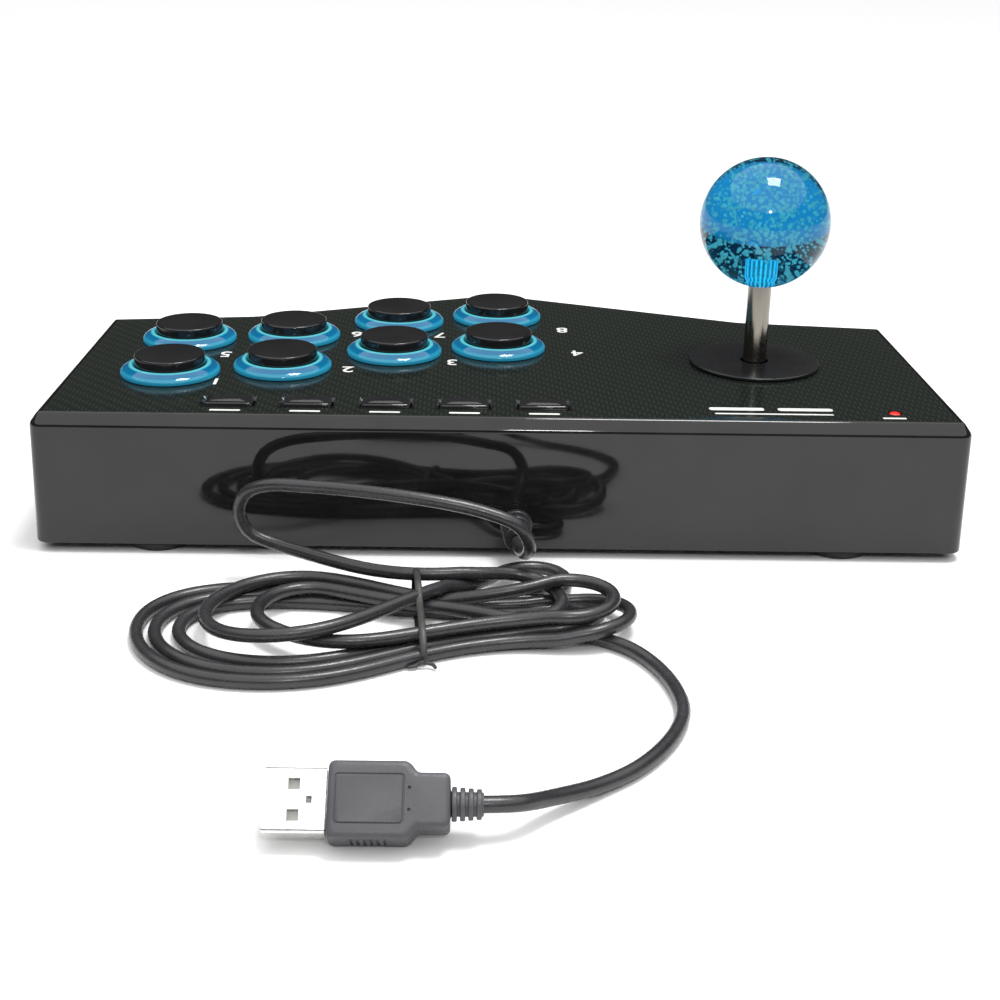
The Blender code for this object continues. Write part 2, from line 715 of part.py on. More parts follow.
def make_strain_relief():
    """The ribbed, tapering grommet where the lead leaves the rear wall."""
    inner = REAR_Y - WALL - GAP
    outer = REAR_Y + 0.0006
    profile = [(0, 0), (0.0044, 0), (0.0044, -0.0016), (0.0033, -0.0016), (0.0033, -(outer - inner + 0.0016))]
    ribs = 3
    start = profile[-1][1]
    length = GLAND_TIP_Y - outer
    for rib in range(ribs):
        here = start - length * rib / ribs
        radius = 0.0041 - 0.0004 * rib
        profile.append((radius, here))
        profile.append((radius - 0.0002, here - length / ribs * 0.62))
        profile.append((radius - 0.0008, here - length / ribs * 0.62))
        profile.append((radius - 0.0008, here - length / ribs))
    profile.append((0, start - length))
    relief = applied(turned("strain_relief", profile, soft_black(), steps=16))
    smooth(relief)
    # The turned axis points down its profile, and the grommet points to +Y.
    relief.rotation_euler = (math.pi / 2, 0, 0)
    relief.location = (GLAND_AT[0], inner - 0.0016, GLAND_AT[1])


def smooth_route(route, spacing):
    """Points about one spacing apart along a smooth curve through the route."""
    points = [Vector(p) for p in route]
    ends = [2 * points[0] - points[1]] + points + [2 * points[-1] - points[-2]]
    dense = []
    for a, b, c, d in zip(ends, ends[1:], ends[2:], ends[3:]):
        for step in range(20):
            t = step / 20
            dense.append(
                0.5 * ((2 * b) + (c - a) * t + (2 * a - 5 * b + 4 * c - d) * t**2 + (3 * b - a - 3 * c + d) * t**3)
            )
    dense.append(points[-1])
    total = sum((q - p).length for p, q in zip(dense, dense[1:]))
    count = max(round(total / spacing), 2)
    chosen = [dense[0]]
    travelled = 0.0
    for p, q in zip(dense, dense[1:]):
        travelled += (q - p).length
        if travelled >= total * len(chosen) / count and len(chosen) < count:
            chosen.append(q)
    return chosen + [dense[-1]]


def make_cord_tube(name, route):
    curve = bpy.data.curves.new(name, "CURVE")
    curve.dimensions = "3D"
    curve.bevel_depth = CORD_RADIUS
    curve.bevel_resolution = 2
    curve.use_fill_caps = True
    spline = curve.splines.new("POLY")
    chosen = smooth_route(route, CORD_SPACING)
    spline.points.add(len(chosen) - 1)
    for point, place in zip(spline.points, chosen):
        point.co = (*place, 1)
    link(bpy.data.objects.new(name, curve), soft_black())


def make_cord_hank():
    """The outer shape of the folded lead: a waisted outline with round ends, narrow under the tie."""
    curve = bpy.data.curves.new("cord_hank", "CURVE")
    curve.dimensions = "2D"
    curve.fill_mode = "BOTH"
    curve.resolution_u = 4
    curve.extrude = (HANK_Z[1] - HANK_Z[0]) / 2
    spline = curve.splines.new("BEZIER")
    spline.bezier_points.add(len(HANK_OUTLINE) - 1)
    for point, place in zip(spline.bezier_points, HANK_OUTLINE):
        point.co = (*place, 0)
        point.handle_left_type = "AUTO"
        point.handle_right_type = "AUTO"
    spline.use_cyclic_u = True
    obj = link(bpy.data.objects.new("cord_hank", curve), soft_black())
    obj.location = (0, 0, sum(HANK_Z) / 2)


def make_cord_tie():
    """The wire tie round the waist of the hank."""
    centre_y = sum(TIE_Y) / 2
    centre_z = sum(TIE_Z) / 2
    half_y = (TIE_Y[1] - TIE_Y[0]) / 2
    half_z = (TIE_Z[1] - TIE_Z[0]) / 2
    corner = 0.0012
    curve = bpy.data.curves.new("cord_tie", "CURVE")
    curve.dimensions = "3D"
    curve.bevel_depth = TIE_RADIUS
    curve.bevel_resolution = 1
    places = []
    for sign_y, sign_z, start in ((1, 1, 0), (-1, 1, 90), (-1, -1, 180), (1, -1, 270)):
        for step in range(3):
            angle = math.radians(start + 45 * step)
            y = centre_y + sign_y * (half_y - corner) + corner * math.cos(angle)
            z = centre_z + sign_z * (half_z - corner) + corner * math.sin(angle)
            places.append((TIE_X, y, z, 1))
    spline = curve.splines.new("POLY")
    spline.points.add(len(places) - 1)
    for point, place in zip(spline.points, places):
        point.co = place
    spline.use_cyclic_u = True
    link(bpy.data.objects.new("cord_tie", curve), soft_black())


def plug_outline():
    """The moulding from above: a wide grip, a short taper and a narrower neck, anticlockwise."""
    grip_end = PLUG_FACE_X - PLUG_GRIP_LENGTH
    neck_start = grip_end - PLUG_TAPER
    neck_end = neck_start - PLUG_NECK_LENGTH
    half = [
        (PLUG_FACE_X, PLUG_GRIP_HALF),
        (grip_end, PLUG_GRIP_HALF),
        (neck_start, PLUG_NECK_HALF),
        (neck_end, PLUG_NECK_HALF),
    ]
    return half + [(x, -y) for x, y in reversed(half)], neck_end


def make_plug_overmould():
    outline, neck_end = plug_outline()
    bm = bmesh.new()
    face = bm.faces.new([bm.verts.new((x, y, -PLUG_THICKNESS / 2)) for x, y in outline])
    top = bmesh.ops.extrude_face_region(bm, geom=[face])["geom"]
    bmesh.ops.translate(bm, vec=(0, 0, PLUG_THICKNESS), verts=[v for v in top if isinstance(v, bmesh.types.BMVert)])
    bmesh.ops.recalc_face_normals(bm, faces=bm.faces)
    mesh = bpy.data.meshes.new("plug_overmould")
    bm.to_mesh(mesh)
    bm.free()
    body = link(bpy.data.objects.new("plug_overmould", mesh), soft_black())
    rounding = body.modifiers.new("edges", "BEVEL")
    rounding.width = 0.0010
    rounding.segments = 2
    overlap = 0.0006
    length = PLUG_TAIL_LENGTH + overlap
    profile = [(0, 0), (0.0031, 0)]
    for rib in range(3):
        here = -overlap - PLUG_TAIL_LENGTH * (rib + 0.15) / 3.2
        radius = 0.0031 - 0.0001 * rib
        profile += [(radius, here), (radius - 0.0008, here), (radius - 0.0008, here - PLUG_TAIL_LENGTH / 7)]
        profile += [(radius - 0.0001, here - PLUG_TAIL_LENGTH / 7)]
    profile += [(0.0027, -length), (0, -length)]
    tail = applied(turned("plug_tail", profile, None, steps=12))
    tail.rotation_euler = (0, math.pi / 2, 0)
    tail.location = (neck_end + overlap, 0, 0)
    join(body, tail)
    return body, tail


def make_plug_shell():
    shell_x = PLUG_FACE_X + GAP + PLUG_SHELL[0] / 2
    shell = box("plug_shell", PLUG_SHELL, (shell_x, 0, 0), steel())
    wall = PLUG_SHELL_WALL
    pocket_size = (PLUG_SHELL[0], PLUG_SHELL[1] - 2 * wall, PLUG_SHELL[2] - 2 * wall)
    pocket = box_group("plug_pocket", ((pocket_size, (shell_x + 0.0012, 0, 0)),))
    cut(shell, pocket)
    return shell, pocket


def make_plug():
    """The USB plug: a moulded grip with a ribbed tail towards -X, and the open steel shell at +X."""
    holder = bpy.data.objects.new("plug_place", None)
    bpy.data.collections[PARTS].objects.link(holder)
    holder.location = PLUG_CENTRE
    holder.rotation_euler = (-PLUG_ROLL, 0, 0)
    for piece in (*make_plug_overmould(), *make_plug_shell()):
        piece.parent = holder


def main():
    clear_scene()
    make_top_shell()
    make_panel_overlay()
    make_base_plate()
    make_feet()
    make_case_screws()
    for number, (x, y) in enumerate(button_places(), 1):
        make_button(number, x, y)
    for number, x in enumerate(key_places(), 1):
        make_function_key(number, x)
    make_control_board()
    make_status_led()
    make_ball()
    make_shaft()
    make_gimbal()
    make_housing()
    make_actuator()
    make_centring_spring()
    make_stick_switch_board()
    make_restrictor_gate()
    make_dust_cover()
    make_strain_relief()
    make_cord_tube("cord_lead", LEAD_ROUTE)
    make_cord_hank()
    make_cord_tube("cord_tail", TAIL_ROUTE)
    make_cord_tie()
    make_plug()


main()
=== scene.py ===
"""Looks for the desktop arcade joystick panel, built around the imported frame.

Metres, +Z up. The feet stand on Z = 0, the player sits at -Y, and the rear wall with the lead faces +Y.
Every piece is modelled at its place in that frame.
"""

import math
import random

import bmesh
import bpy
import numpy as np
from mathutils import Matrix, Vector


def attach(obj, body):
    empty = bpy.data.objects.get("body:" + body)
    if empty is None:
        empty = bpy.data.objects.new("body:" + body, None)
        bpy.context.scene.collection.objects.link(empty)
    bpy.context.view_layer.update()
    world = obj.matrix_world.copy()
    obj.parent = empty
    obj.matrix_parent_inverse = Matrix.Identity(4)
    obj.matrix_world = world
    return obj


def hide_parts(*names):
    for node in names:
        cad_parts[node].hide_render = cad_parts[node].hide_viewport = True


GAP = 0.0003

# Case.
REAR_HALF_WIDTH = 0.1180
FRONT_HALF_WIDTH = 0.1165
BEND_HALF_WIDTH = 0.0735
SIDE_DEPTH = 0.0898
BEND_DEPTH = 0.0954
CASE_DEPTH = 0.1235
REAR_Y = CASE_DEPTH / 2
CORNER_RADIUS = 0.0030
BEND_RADIUS = 0.0090
POINT_RADIUS = 0.0120
CORNER_STEPS = 10
FOOT_HEIGHT = 0.0025
DECK_TOP = 0.0370
EDGE_HEIGHT = 0.0029
EDGE_WIDTH = 0.0022
DRAFT = 0.0006
WALL = 0.0022
DECK_UNDERSIDE = 0.0340
OVERLAY_THICKNESS = 0.0006
OVERLAY_INSET = 0.0030
BASE_TOP = 0.0047
FOOT_RADIUS = 0.0090
FEET = {
    "rear_left": (0.0880, 0.0525),
    "rear_right": (-0.0880, 0.0525),
    "front_left": (0.0880, -0.0180),
    "front_right": (-0.0880, -0.0180),
}
BOSSES = ((0.1070, 0.0460), (-0.1070, 0.0460), (0.1050, -0.0190), (-0.1050, -0.0190))
BOSS_RADIUS = 0.0036
SCREW_RADIUS = 0.0013
SCREW_TOP = 0.0140

# Buttons: (x, y of the rear one, y of the front one) for each column.
BUTTON_COLUMNS = (
    (0.0885, 0.0258, -0.0058),
    (0.0590, 0.0198, -0.0100),
    (0.0293, 0.0050, -0.0262),
    (0.0000, -0.0002, -0.0328),
)
RIM_RADIUS = 0.0133
BARREL_RADIUS = 0.0117
BORE_RADIUS = 0.0098
BARREL_DEPTH = 0.0140
PLUNGER_RADIUS = 0.0094
PLUNGER_RISE = 0.0054

# Function keys.
KEY_COUNT = 5
KEY_FIRST_X = 0.0694
KEY_PITCH = 0.02005
KEY_Y = 0.0500
KEY_SIZE = (0.0124, 0.0056)
KEY_CROWN = 0.0012
KEY_CORNER = 0.0006
KEY_FLANGE = (0.0142, 0.0074)
KEY_BOTTOM = 0.0316
OVERLAY_SLOT = (0.0145, 0.0080)
LED_AT = (-0.1000, 0.0523)
LED_RADIUS = 0.0015
BOARD_TOP = 0.0286

# Lever.
STICK_X = -0.0710
STICK_Y = 0.0107
BALL_RADIUS = 0.0175
BALL_Z = 0.0765
SHAFT_RADIUS = 0.0032
THREAD_RADIUS = 0.0024
KNURLS = 24
BUBBLE_COUNT = 1400
SHAFT_BOTTOM = 0.0054
PIVOT_Z = 0.0250
STICK_HOLE_RADIUS = 0.0105
DISC_RADIUS = 0.01785
DISC_Z = (DECK_TOP + GAP, DECK_TOP + 0.0011)

# Lead.
CORD_RADIUS = 0.0016
LEAST_BEND = 0.0112
ARC_POINTS = 52
TAIL_POINTS = 52
GLAND_AT = (-0.0042, 0.0095)
GLAND_TIP_Y = 0.0736
LEAD_ROUTE = (
    (-0.0042, 0.0740, 0.0095),
    (-0.0048, 0.0795, 0.0098),
    (-0.0060, 0.0850, 0.0114),
    (-0.0066, 0.0893, 0.0157),
    (-0.0034, 0.0905, 0.0211),
    (0.0044, 0.0894, 0.0238),
    (0.0130, 0.0888, 0.0256),
    (0.0245, 0.0873, 0.0268),
    (0.0361, 0.0850, 0.0272),
    (0.0465, 0.0826, 0.0270),
    (0.0555, 0.0800, 0.0262),
    (0.0614, 0.0780, 0.0235),
    (0.0637, 0.0768, 0.0180),
    (0.0614, 0.0766, 0.0125),
    (0.0555, 0.0774, 0.0099),
    (0.0495, 0.0795, 0.0092),
)
TAIL_ROUTE = (
    (-0.0270, 0.1140, 0.0020),
    (-0.0330, 0.1220, 0.0018),
    (-0.0366, 0.1330, 0.0018),
    (-0.0370, 0.1440, 0.0018),
    (-0.0330, 0.1550, 0.0018),
    (-0.0260, 0.1650, 0.0018),
    (-0.0175, 0.1725, 0.0022),
    (-0.0080, 0.1800, 0.0042),
    (-0.0020, 0.1855, 0.0065),
    (0.0040, 0.1871, 0.0072),
    (0.0066, 0.1872, 0.0072),
)
TIE_X = 0.0190

# USB plug.
PLUG_CENTRE = (0.0217, 0.1872, 0.0072)
PLUG_ROLL = math.radians(42)
PLUG_FACE_X = 0.0110
PLUG_GRIP_HALF = 0.0071
PLUG_GRIP_LENGTH = 0.0146
PLUG_NECK_HALF = 0.0050
PLUG_NECK_LENGTH = 0.0059
PLUG_TAPER = 0.0016
PLUG_THICKNESS = 0.0072
PLUG_TAIL_LENGTH = 0.0060
PLUG_SHELL = (0.0113, 0.0120, 0.0045)
PLUG_SHELL_WALL = 0.0004

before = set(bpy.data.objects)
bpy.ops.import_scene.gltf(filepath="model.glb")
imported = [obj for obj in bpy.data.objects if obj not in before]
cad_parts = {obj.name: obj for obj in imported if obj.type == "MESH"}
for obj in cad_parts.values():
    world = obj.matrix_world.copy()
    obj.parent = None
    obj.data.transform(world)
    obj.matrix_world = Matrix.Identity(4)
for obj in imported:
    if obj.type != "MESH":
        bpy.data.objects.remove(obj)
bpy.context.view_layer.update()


# ---------------------------------------------------------------- camera, floor and light


def make_camera():
    data = bpy.data.cameras.new("camera")
    data.sensor_width = 36.0
    data.lens = 56.907
    data.shift_x = 0.0255
    data.shift_y = -0.0366
    data.clip_start = 0.01
    data.clip_end = 20.0
    camera = bpy.data.objects.new("camera", data)
    right = Vector((-0.9999118, -0.0002605, 0.0132764))
    up = Vector((0.0125070, -0.3544043, 0.9350086))
    back = right.cross(up)
    turn = Matrix((right, up, back)).transposed().to_4x4()
    camera.matrix_world = Matrix.Translation((0.008344, 0.432042, 0.165797)) @ turn
    bpy.context.scene.collection.objects.link(camera)
    bpy.context.scene.camera = camera


def make_stage():
    bpy.ops.mesh.primitive_plane_add(size=8.0, location=(0, 0, 0))
    floor = bpy.context.object
    floor.name = "floor"
    finish = bpy.data.materials.new("floor")
    finish.use_nodes = True
    shader = finish.node_tree.nodes["Principled BSDF"]
    shader.inputs["Base Color"].default_value = (0.90, 0.90, 0.90, 1)
    shader.inputs["Roughness"].default_value = 0.9
    shader.inputs["Specular IOR Level"].default_value = 0.1
    floor.data.materials.append(finish)
    # The room is dim, so that gloss black stays black, and only the backdrop that the camera sees is white.
    world = bpy.data.worlds.new("studio")
    world.use_nodes = True
    tree = world.node_tree
    background = tree.nodes["Background"]
    path = tree.nodes.new("ShaderNodeLightPath")
    strength = tree.nodes.new("ShaderNodeMapRange")
    strength.inputs["To Min"].default_value = 0.06
    strength.inputs["To Max"].default_value = 1.10
    tree.links.new(path.outputs["Is Camera Ray"], strength.inputs["Value"])
    tree.links.new(strength.outputs["Result"], background.inputs["Strength"])
    background.inputs["Color"].default_value = (1.0, 1.0, 1.0, 1)
    bpy.context.scene.world = world
    bpy.context.scene.view_settings.view_transform = "Standard"


def add_light(name, kind, place, target, energy, **settings):
    data = bpy.data.lights.new(name, kind)
    data.energy = energy
    for key, value in settings.items():
        setattr(data, key, value)
    light = bpy.data.objects.new(name, data)
    light.location = place
    light.rotation_euler = (Vector(target) - Vector(place)).to_track_quat("-Z", "Y").to_euler()
    bpy.context.scene.collection.objects.link(light)


make_camera()
make_stage()
# A wide patch of sky lights the whole floor evenly, and the two softboxes make the highlights.
add_light("even_light", "SUN", (0, 0.12, 1), (0, 0, 0), 3.2, angle=math.radians(110))
box = {"shape": "RECTANGLE", "size": 0.30, "size_y": 0.30}
add_light("overhead_softbox", "AREA", (-0.20, 0.06, 1.05), (0, 0.05, 0), 7, **box)
box = {"shape": "RECTANGLE", "size": 0.07, "size_y": 0.05}
add_light("front_softbox", "AREA", (-0.055, 0.66, 0.46), (-0.02, 0, 0.04), 0.7, **box)


# ---------------------------------------------------------------- materials


class Nodes:
    """Short names for building one material's nodes."""

    def __init__(self, name):
        self.material = bpy.data.materials.new(name)
        self.material.use_nodes = True
        self.tree = self.material.node_tree
        self.shader = self.tree.nodes["Principled BSDF"]
        self.place = self.new("ShaderNodeTexCoord").outputs["Object"]

    def new(self, kind, **settings):
        node = self.tree.nodes.new(kind)
        for key, value in settings.items():
            setattr(node, key, value)
        return node

    def link(self, output, socket):
        self.tree.links.new(output, socket)

    def math(self, operation, first, second=None):
        node = self.new("ShaderNodeMath", operation=operation)
        for socket, value in zip(node.inputs, (first, second)):
            if value is None:
                continue
            if isinstance(value, (int, float)):
                socket.default_value = value
            else:
                self.link(value, socket)
        return node.outputs[0]

    def stretched(self, scale):
        node = self.new("ShaderNodeMapping")
        node.inputs["Scale"].default_value = scale
        self.link(self.place, node.inputs["Vector"])
        return node.outputs[0]

    def noise(self, scale, detail=3.0, place=None):
        node = self.new("ShaderNodeTexNoise")
        node.inputs["Scale"].default_value = scale
        node.inputs["Detail"].default_value = detail
        self.link(place or self.place, node.inputs["Vector"])
        return node.outputs["Fac"]

    def ranged(self, value, low, high, source=(0.3, 0.7)):
        node = self.new("ShaderNodeMapRange")
        node.inputs["From Min"].default_value = source[0]
        node.inputs["From Max"].default_value = source[1]
        node.inputs["To Min"].default_value = low
        node.inputs["To Max"].default_value = high
        self.link(value, node.inputs["Value"])
        return node.outputs["Result"]

    def colours(self, value, low, high, source=(0.3, 0.7)):
        node = self.new("ShaderNodeValToRGB")
        for stop, position, colour in zip(node.color_ramp.elements, source, (low, high)):
            stop.position = position
            stop.color = (*colour, 1)
        self.link(value, node.inputs["Fac"])
        self.link(node.outputs["Color"], self.shader.inputs["Base Color"])

    def rough(self, value):
        self.link(value, self.shader.inputs["Roughness"])

    def bump(self, height, strength, distance):
        node = self.new("ShaderNodeBump")
        node.inputs["Strength"].default_value = strength
        node.inputs["Distance"].default_value = distance
        self.link(height, node.inputs["Height"])
        self.link(node.outputs["Normal"], self.shader.inputs["Normal"])

    def set(self, **values):
        for key, value in values.items():
            self.shader.inputs[key.replace("_", " ")].default_value = value
        return self.material


def scaled(colour, factor):
    return tuple(min(c * factor, 1.0) for c in colour)


def moulded(name, colour, roughness, grain, bump, spread=0.25, **values):
    """Moulded plastic, rubber or lacquer: slight mottling, uneven gloss and a fine grain."""
    n = Nodes(name)
    cloud = n.noise(90.0, 4.0)
    n.colours(cloud, scaled(colour, 1 - spread), scaled(colour, 1 + spread))
    fine = n.noise(grain, 2.0)
    n.rough(n.ranged(fine, roughness * 0.8, roughness * 1.25))
    n.bump(fine, bump, 0.0001)
    return n.set(**values)


def metal(name, colour, roughness, along):
    """Drawn or turned steel with fine lines across the given scale."""
    n = Nodes(name)
    lines = n.noise(1.0, 3.0, n.stretched(along))
    n.colours(lines, scaled(colour, 0.82), scaled(colour, 1.12))
    n.rough(n.ranged(lines, roughness * 0.7, roughness * 1.4))
    n.bump(lines, 0.12, 0.00005)
    return n.set(Metallic=1.0)


def woven_sheet():
    """Printed carbon twill, with a smooth gloss over it."""
    n = Nodes("printed_twill")
    split = n.new("ShaderNodeSeparateXYZ")
    n.link(n.stretched((900.0, 900.0, 900.0)), split.inputs[0])
    across, along = split.outputs[0], split.outputs[1]
    step = n.math("ADD", n.math("FLOOR", across), n.math("FLOOR", along))
    phase = n.math("FLOORED_MODULO", step, 4.0)
    warp = n.math("LESS_THAN", phase, 2.0)
    weft = n.math("SUBTRACT", 1.0, warp)
    round_x = n.math("SINE", n.math("MULTIPLY", n.math("FRACT", across), math.pi))
    round_y = n.math("SINE", n.math("MULTIPLY", n.math("FRACT", along), math.pi))
    sunk = n.math("MULTIPLY", weft, n.math("MULTIPLY", round_y, 0.55))
    height = n.math("ADD", n.math("MULTIPLY", warp, round_x), sunk)
    speckle = n.math("MULTIPLY", n.noise(1400.0, 2.0), 0.35)
    n.colours(n.math("ADD", height, speckle), (0.003, 0.004, 0.003), (0.018, 0.023, 0.019), (0.1, 1.2))
    n.rough(n.ranged(n.noise(60.0, 3.0), 0.10, 0.17))
    return n.set(Specular_IOR_Level=0.30)


def clear_plastic(name, colour, transmission, ior):
    n = Nodes(name)
    cloud = n.noise(45.0, 2.0)
    n.colours(cloud, scaled(colour, 0.88), scaled(colour, 1.12))
    n.rough(n.ranged(n.noise(300.0, 2.0), 0.03, 0.07))
    return n.set(Transmission_Weight=transmission, IOR=ior)


def glowing(name, colour, strength):
    """A clear bead with a little painted glow, which stands in for the light that the ball bends onto it."""
    n = Nodes(name)
    n.colours(n.noise(500.0, 2.0), scaled(colour, 0.7), colour)
    n.rough(n.ranged(n.noise(900.0, 2.0), 0.10, 0.25))
    # Painted glow: the bubble is no lamp.
    return n.set(Emission_Color=(*colour, 1), Emission_Strength=strength, Transmission_Weight=0.85, IOR=1.40)


def knurl_shine():
    """The insert as the ball shows it: painted highlights on the ridges and painted shade in the flutes running up
    and down, with a painted glow.
    """
    n = Nodes("insert_painted_glow")
    centred = n.new("ShaderNodeMapping")
    centred.inputs["Location"].default_value = (-STICK_X, -STICK_Y, 0)
    n.link(n.place, centred.inputs["Vector"])
    split = n.new("ShaderNodeSeparateXYZ")
    n.link(centred.outputs[0], split.inputs[0])
    angle = n.math("ARCTAN2", split.outputs[1], split.outputs[0])
    flute = n.math("SINE", n.math("MULTIPLY", angle, KNURLS))
    # Painted shade in the flutes and painted highlight on the ridges.
    n.colours(flute, (0.55, 0.55, 0.45), (0.95, 0.95, 0.80), (0.0, 0.9))
    n.rough(n.ranged(n.noise(900.0, 2.0), 0.15, 0.30))
    # Painted glow, strongest on the ridges, though the insert is no lamp.
    n.link(n.ranged(flute, 0.8, 4.0, (-0.2, 0.9)), n.shader.inputs["Emission Strength"])
    return n.set(Emission_Color=(1.0, 1.0, 0.80, 1), Metallic=0.6)


def ring_plastic():
    """Clear blue plastic with a painted highlight ring at the inner lip and another at the outer edge, and a faint
    painted glow.
    """
    n = Nodes("clear_blue_rim_painted_highlights")
    centred = n.new("ShaderNodeMapping")
    centred.inputs["Location"].default_value = (-1.0, -1.0, 0)
    centred.inputs["Scale"].default_value = (2.0, 2.0, 0.0)
    n.link(n.new("ShaderNodeTexCoord").outputs["Generated"], centred.inputs["Vector"])
    length = n.new("ShaderNodeVectorMath", operation="LENGTH")
    n.link(centred.outputs[0], length.inputs[0])
    ramp = n.new("ShaderNodeValToRGB")
    stops = ramp.color_ramp.elements
    # By radius: painted highlight at the inner lip, the flange in the plastic's own deep blue, painted highlight
    # at the outer edge.
    painted_highlight_bands = (
        (0.72, (0.05, 0.50, 0.62)),
        (0.79, (0.16, 0.80, 0.86)),
        (0.84, (0.00, 0.15, 0.33)),
        (0.93, (0.00, 0.18, 0.37)),
        (0.97, (0.03, 0.38, 0.58)),
    )
    while len(stops) < len(painted_highlight_bands):
        stops.new(0.5)
    for stop, (place, colour) in zip(stops, painted_highlight_bands):
        stop.position = place
        stop.color = (*colour, 1)
    n.link(length.outputs["Value"], ramp.inputs["Fac"])
    n.link(ramp.outputs["Color"], n.shader.inputs["Base Color"])
    # The same rings also glow faintly: painted glow.
    n.link(ramp.outputs["Color"], n.shader.inputs["Emission Color"])
    n.rough(n.ranged(n.noise(300.0, 2.0), 0.05, 0.10))
    return n.set(Transmission_Weight=0.45, IOR=1.49, Emission_Strength=0.10)


def circuit_board():
    n = Nodes("circuit_board")
    bricks = n.new("ShaderNodeTexBrick")
    bricks.inputs["Scale"].default_value = 260.0
    bricks.inputs["Mortar Size"].default_value = 0.06
    n.link(n.place, bricks.inputs["Vector"])
    n.colours(bricks.outputs["Fac"], (0.015, 0.13, 0.05), (0.05, 0.30, 0.13), (0.0, 1.0))
    n.rough(n.ranged(n.noise(500.0), 0.3, 0.45))
    n.bump(bricks.outputs["Fac"], 0.3, 0.0001)
    return n.material


def lamp():
    n = Nodes("lamp_red")
    n.colours(n.noise(900.0), (0.60, 0.015, 0.012), (0.85, 0.04, 0.03))
    n.rough(n.ranged(n.noise(700.0), 0.12, 0.2))
    return n.set(Emission_Color=(1.0, 0.04, 0.03, 1), Emission_Strength=0.35)


LOOKS = {
    "case": moulded("gloss_black_abs", (0.010, 0.010, 0.010), 0.05, 900.0, 0.006),
    "keys": moulded("gloss_black_key", (0.013, 0.013, 0.014), 0.10, 1200.0, 0.02),
    "plunger": moulded("gloss_black_plunger", (0.010, 0.010, 0.011), 0.10, 900.0, 0.015),
    "disc": moulded("satin_black_disc", (0.014, 0.014, 0.015), 0.22, 1500.0, 0.04),
    "matte": moulded("matte_black_abs", (0.022, 0.022, 0.022), 0.55, 2500.0, 0.25),
    "rubber": moulded("foot_rubber", (0.016, 0.016, 0.016), 0.80, 1800.0, 0.45),
    "nylon": moulded("white_nylon", (0.74, 0.74, 0.70), 0.42, 1500.0, 0.10, spread=0.06),
    "pvc": moulded("black_pvc", (0.028, 0.028, 0.030), 0.27, 700.0, 0.10),
    "moulding": moulded("plug_pvc", (0.065, 0.065, 0.072), 0.46, 2600.0, 0.30, spread=0.12),
    "tie": moulded("wire_tie", (0.030, 0.029, 0.027), 0.50, 1500.0, 0.30),
    "ink": moulded("grey_ink", (0.72, 0.72, 0.70), 0.40, 2500.0, 0.05, spread=0.10),
    "steel": metal("drawn_steel", (0.26, 0.24, 0.21), 0.14, (900.0, 900.0, 20.0)),
    "plated": metal("plated_shell", (0.80, 0.80, 0.78), 0.26, (500.0, 9000.0, 9000.0)),
    "zinc": metal("zinc_screw", (0.60, 0.60, 0.58), 0.32, (2500.0, 2500.0, 2500.0)),
    "twill": woven_sheet(),
    "rim": ring_plastic(),
    "ball": clear_plastic("clear_blue_ball", (0.006, 0.17, 0.40), 0.95, 1.36),
    "bubble": glowing("air_bubble_painted_glow", (0.85, 0.95, 0.80), 0.30),
    "insert": knurl_shine(),
    "board": circuit_board(),
    "lamp": lamp(),
}


# ---------------------------------------------------------------- mesh helpers


def seated(obj, body, replaces=(), sharp=32):
    """Sets which edges are sharp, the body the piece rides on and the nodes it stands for."""
    if sharp is not None:
        obj.data.shade_smooth()
        obj.data.set_sharp_from_angle(angle=math.radians(sharp))
    if body:
        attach(obj, body)
    if replaces:
        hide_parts(*replaces)
    return obj


def new_piece(name, data, look, body=None, replaces=(), sharp=32):
    obj = bpy.data.objects.new(name, data)
    bpy.context.scene.collection.objects.link(obj)
    data.materials.clear()
    data.materials.append(LOOKS[look])
    return seated(obj, body, replaces, sharp)


def mesh_from(bm, name):
    bmesh.ops.recalc_face_normals(bm, faces=bm.faces)
    mesh = bpy.data.meshes.new(name)
    bm.to_mesh(mesh)
    bm.free()
    return mesh


def rounded(corners, reach, steps=4, closed=False):
    """A line through the corners, each replaced by a short curve that starts and ends reach away from it."""
    points = [Vector(c) for c in corners]
    count = len(points)
    reaches = reach if isinstance(reach, (list, tuple)) else [reach] * count
    made = []
    for i, corner in enumerate(points):
        before = points[i - 1] if i or closed else None
        after = points[(i + 1) % count] if i < count - 1 or closed else None
        if before is None or after is None or reaches[i] == 0:
            made.append(corner)
            continue
        start = corner + (before - corner).normalized() * min(reaches[i], (before - corner).length * 0.49)
        end = corner + (after - corner).normalized() * min(reaches[i], (after - corner).length * 0.49)
        for step in range(steps + 1):
            t = step / steps
            made.append(start * (1 - t) ** 2 + corner * 2 * t * (1 - t) + end * t**2)
    return made


def lathe(name, profile, steps=64, ring=False, turn=None, radius_at=None):
    """A turned mesh about Z through (radius, height) points. radius_at(angle, radius, height) may reshape it."""
    bm = bmesh.new()
    rings = []
    for radius, height in profile:
        if radius < 1e-7:
            rings.append([bm.verts.new((0, 0, height))])
            continue
        ring_verts = []
        for i in range(steps):
            angle = 2 * math.pi * i / steps
            r = radius_at(angle, radius, height) if radius_at else radius
            ring_verts.append(bm.verts.new((r * math.cos(angle), r * math.sin(angle), height)))
        rings.append(ring_verts)
    pairs = list(zip(rings, rings[1:])) + ([(rings[-1], rings[0])] if ring else [])
    for a, b in pairs:
        for i in range(steps):
            j = (i + 1) % steps
            if len(a) == 1 and len(b) == 1:
                continue
            if len(a) == 1:
                bm.faces.new((a[0], b[j], b[i]))
            elif len(b) == 1:
                bm.faces.new((a[i], a[j], b[0]))
            else:
                bm.faces.new((a[i], a[j], b[j], b[i]))
    if turn:
        bmesh.ops.transform(bm, matrix=turn, verts=bm.verts)
    return mesh_from(bm, name)


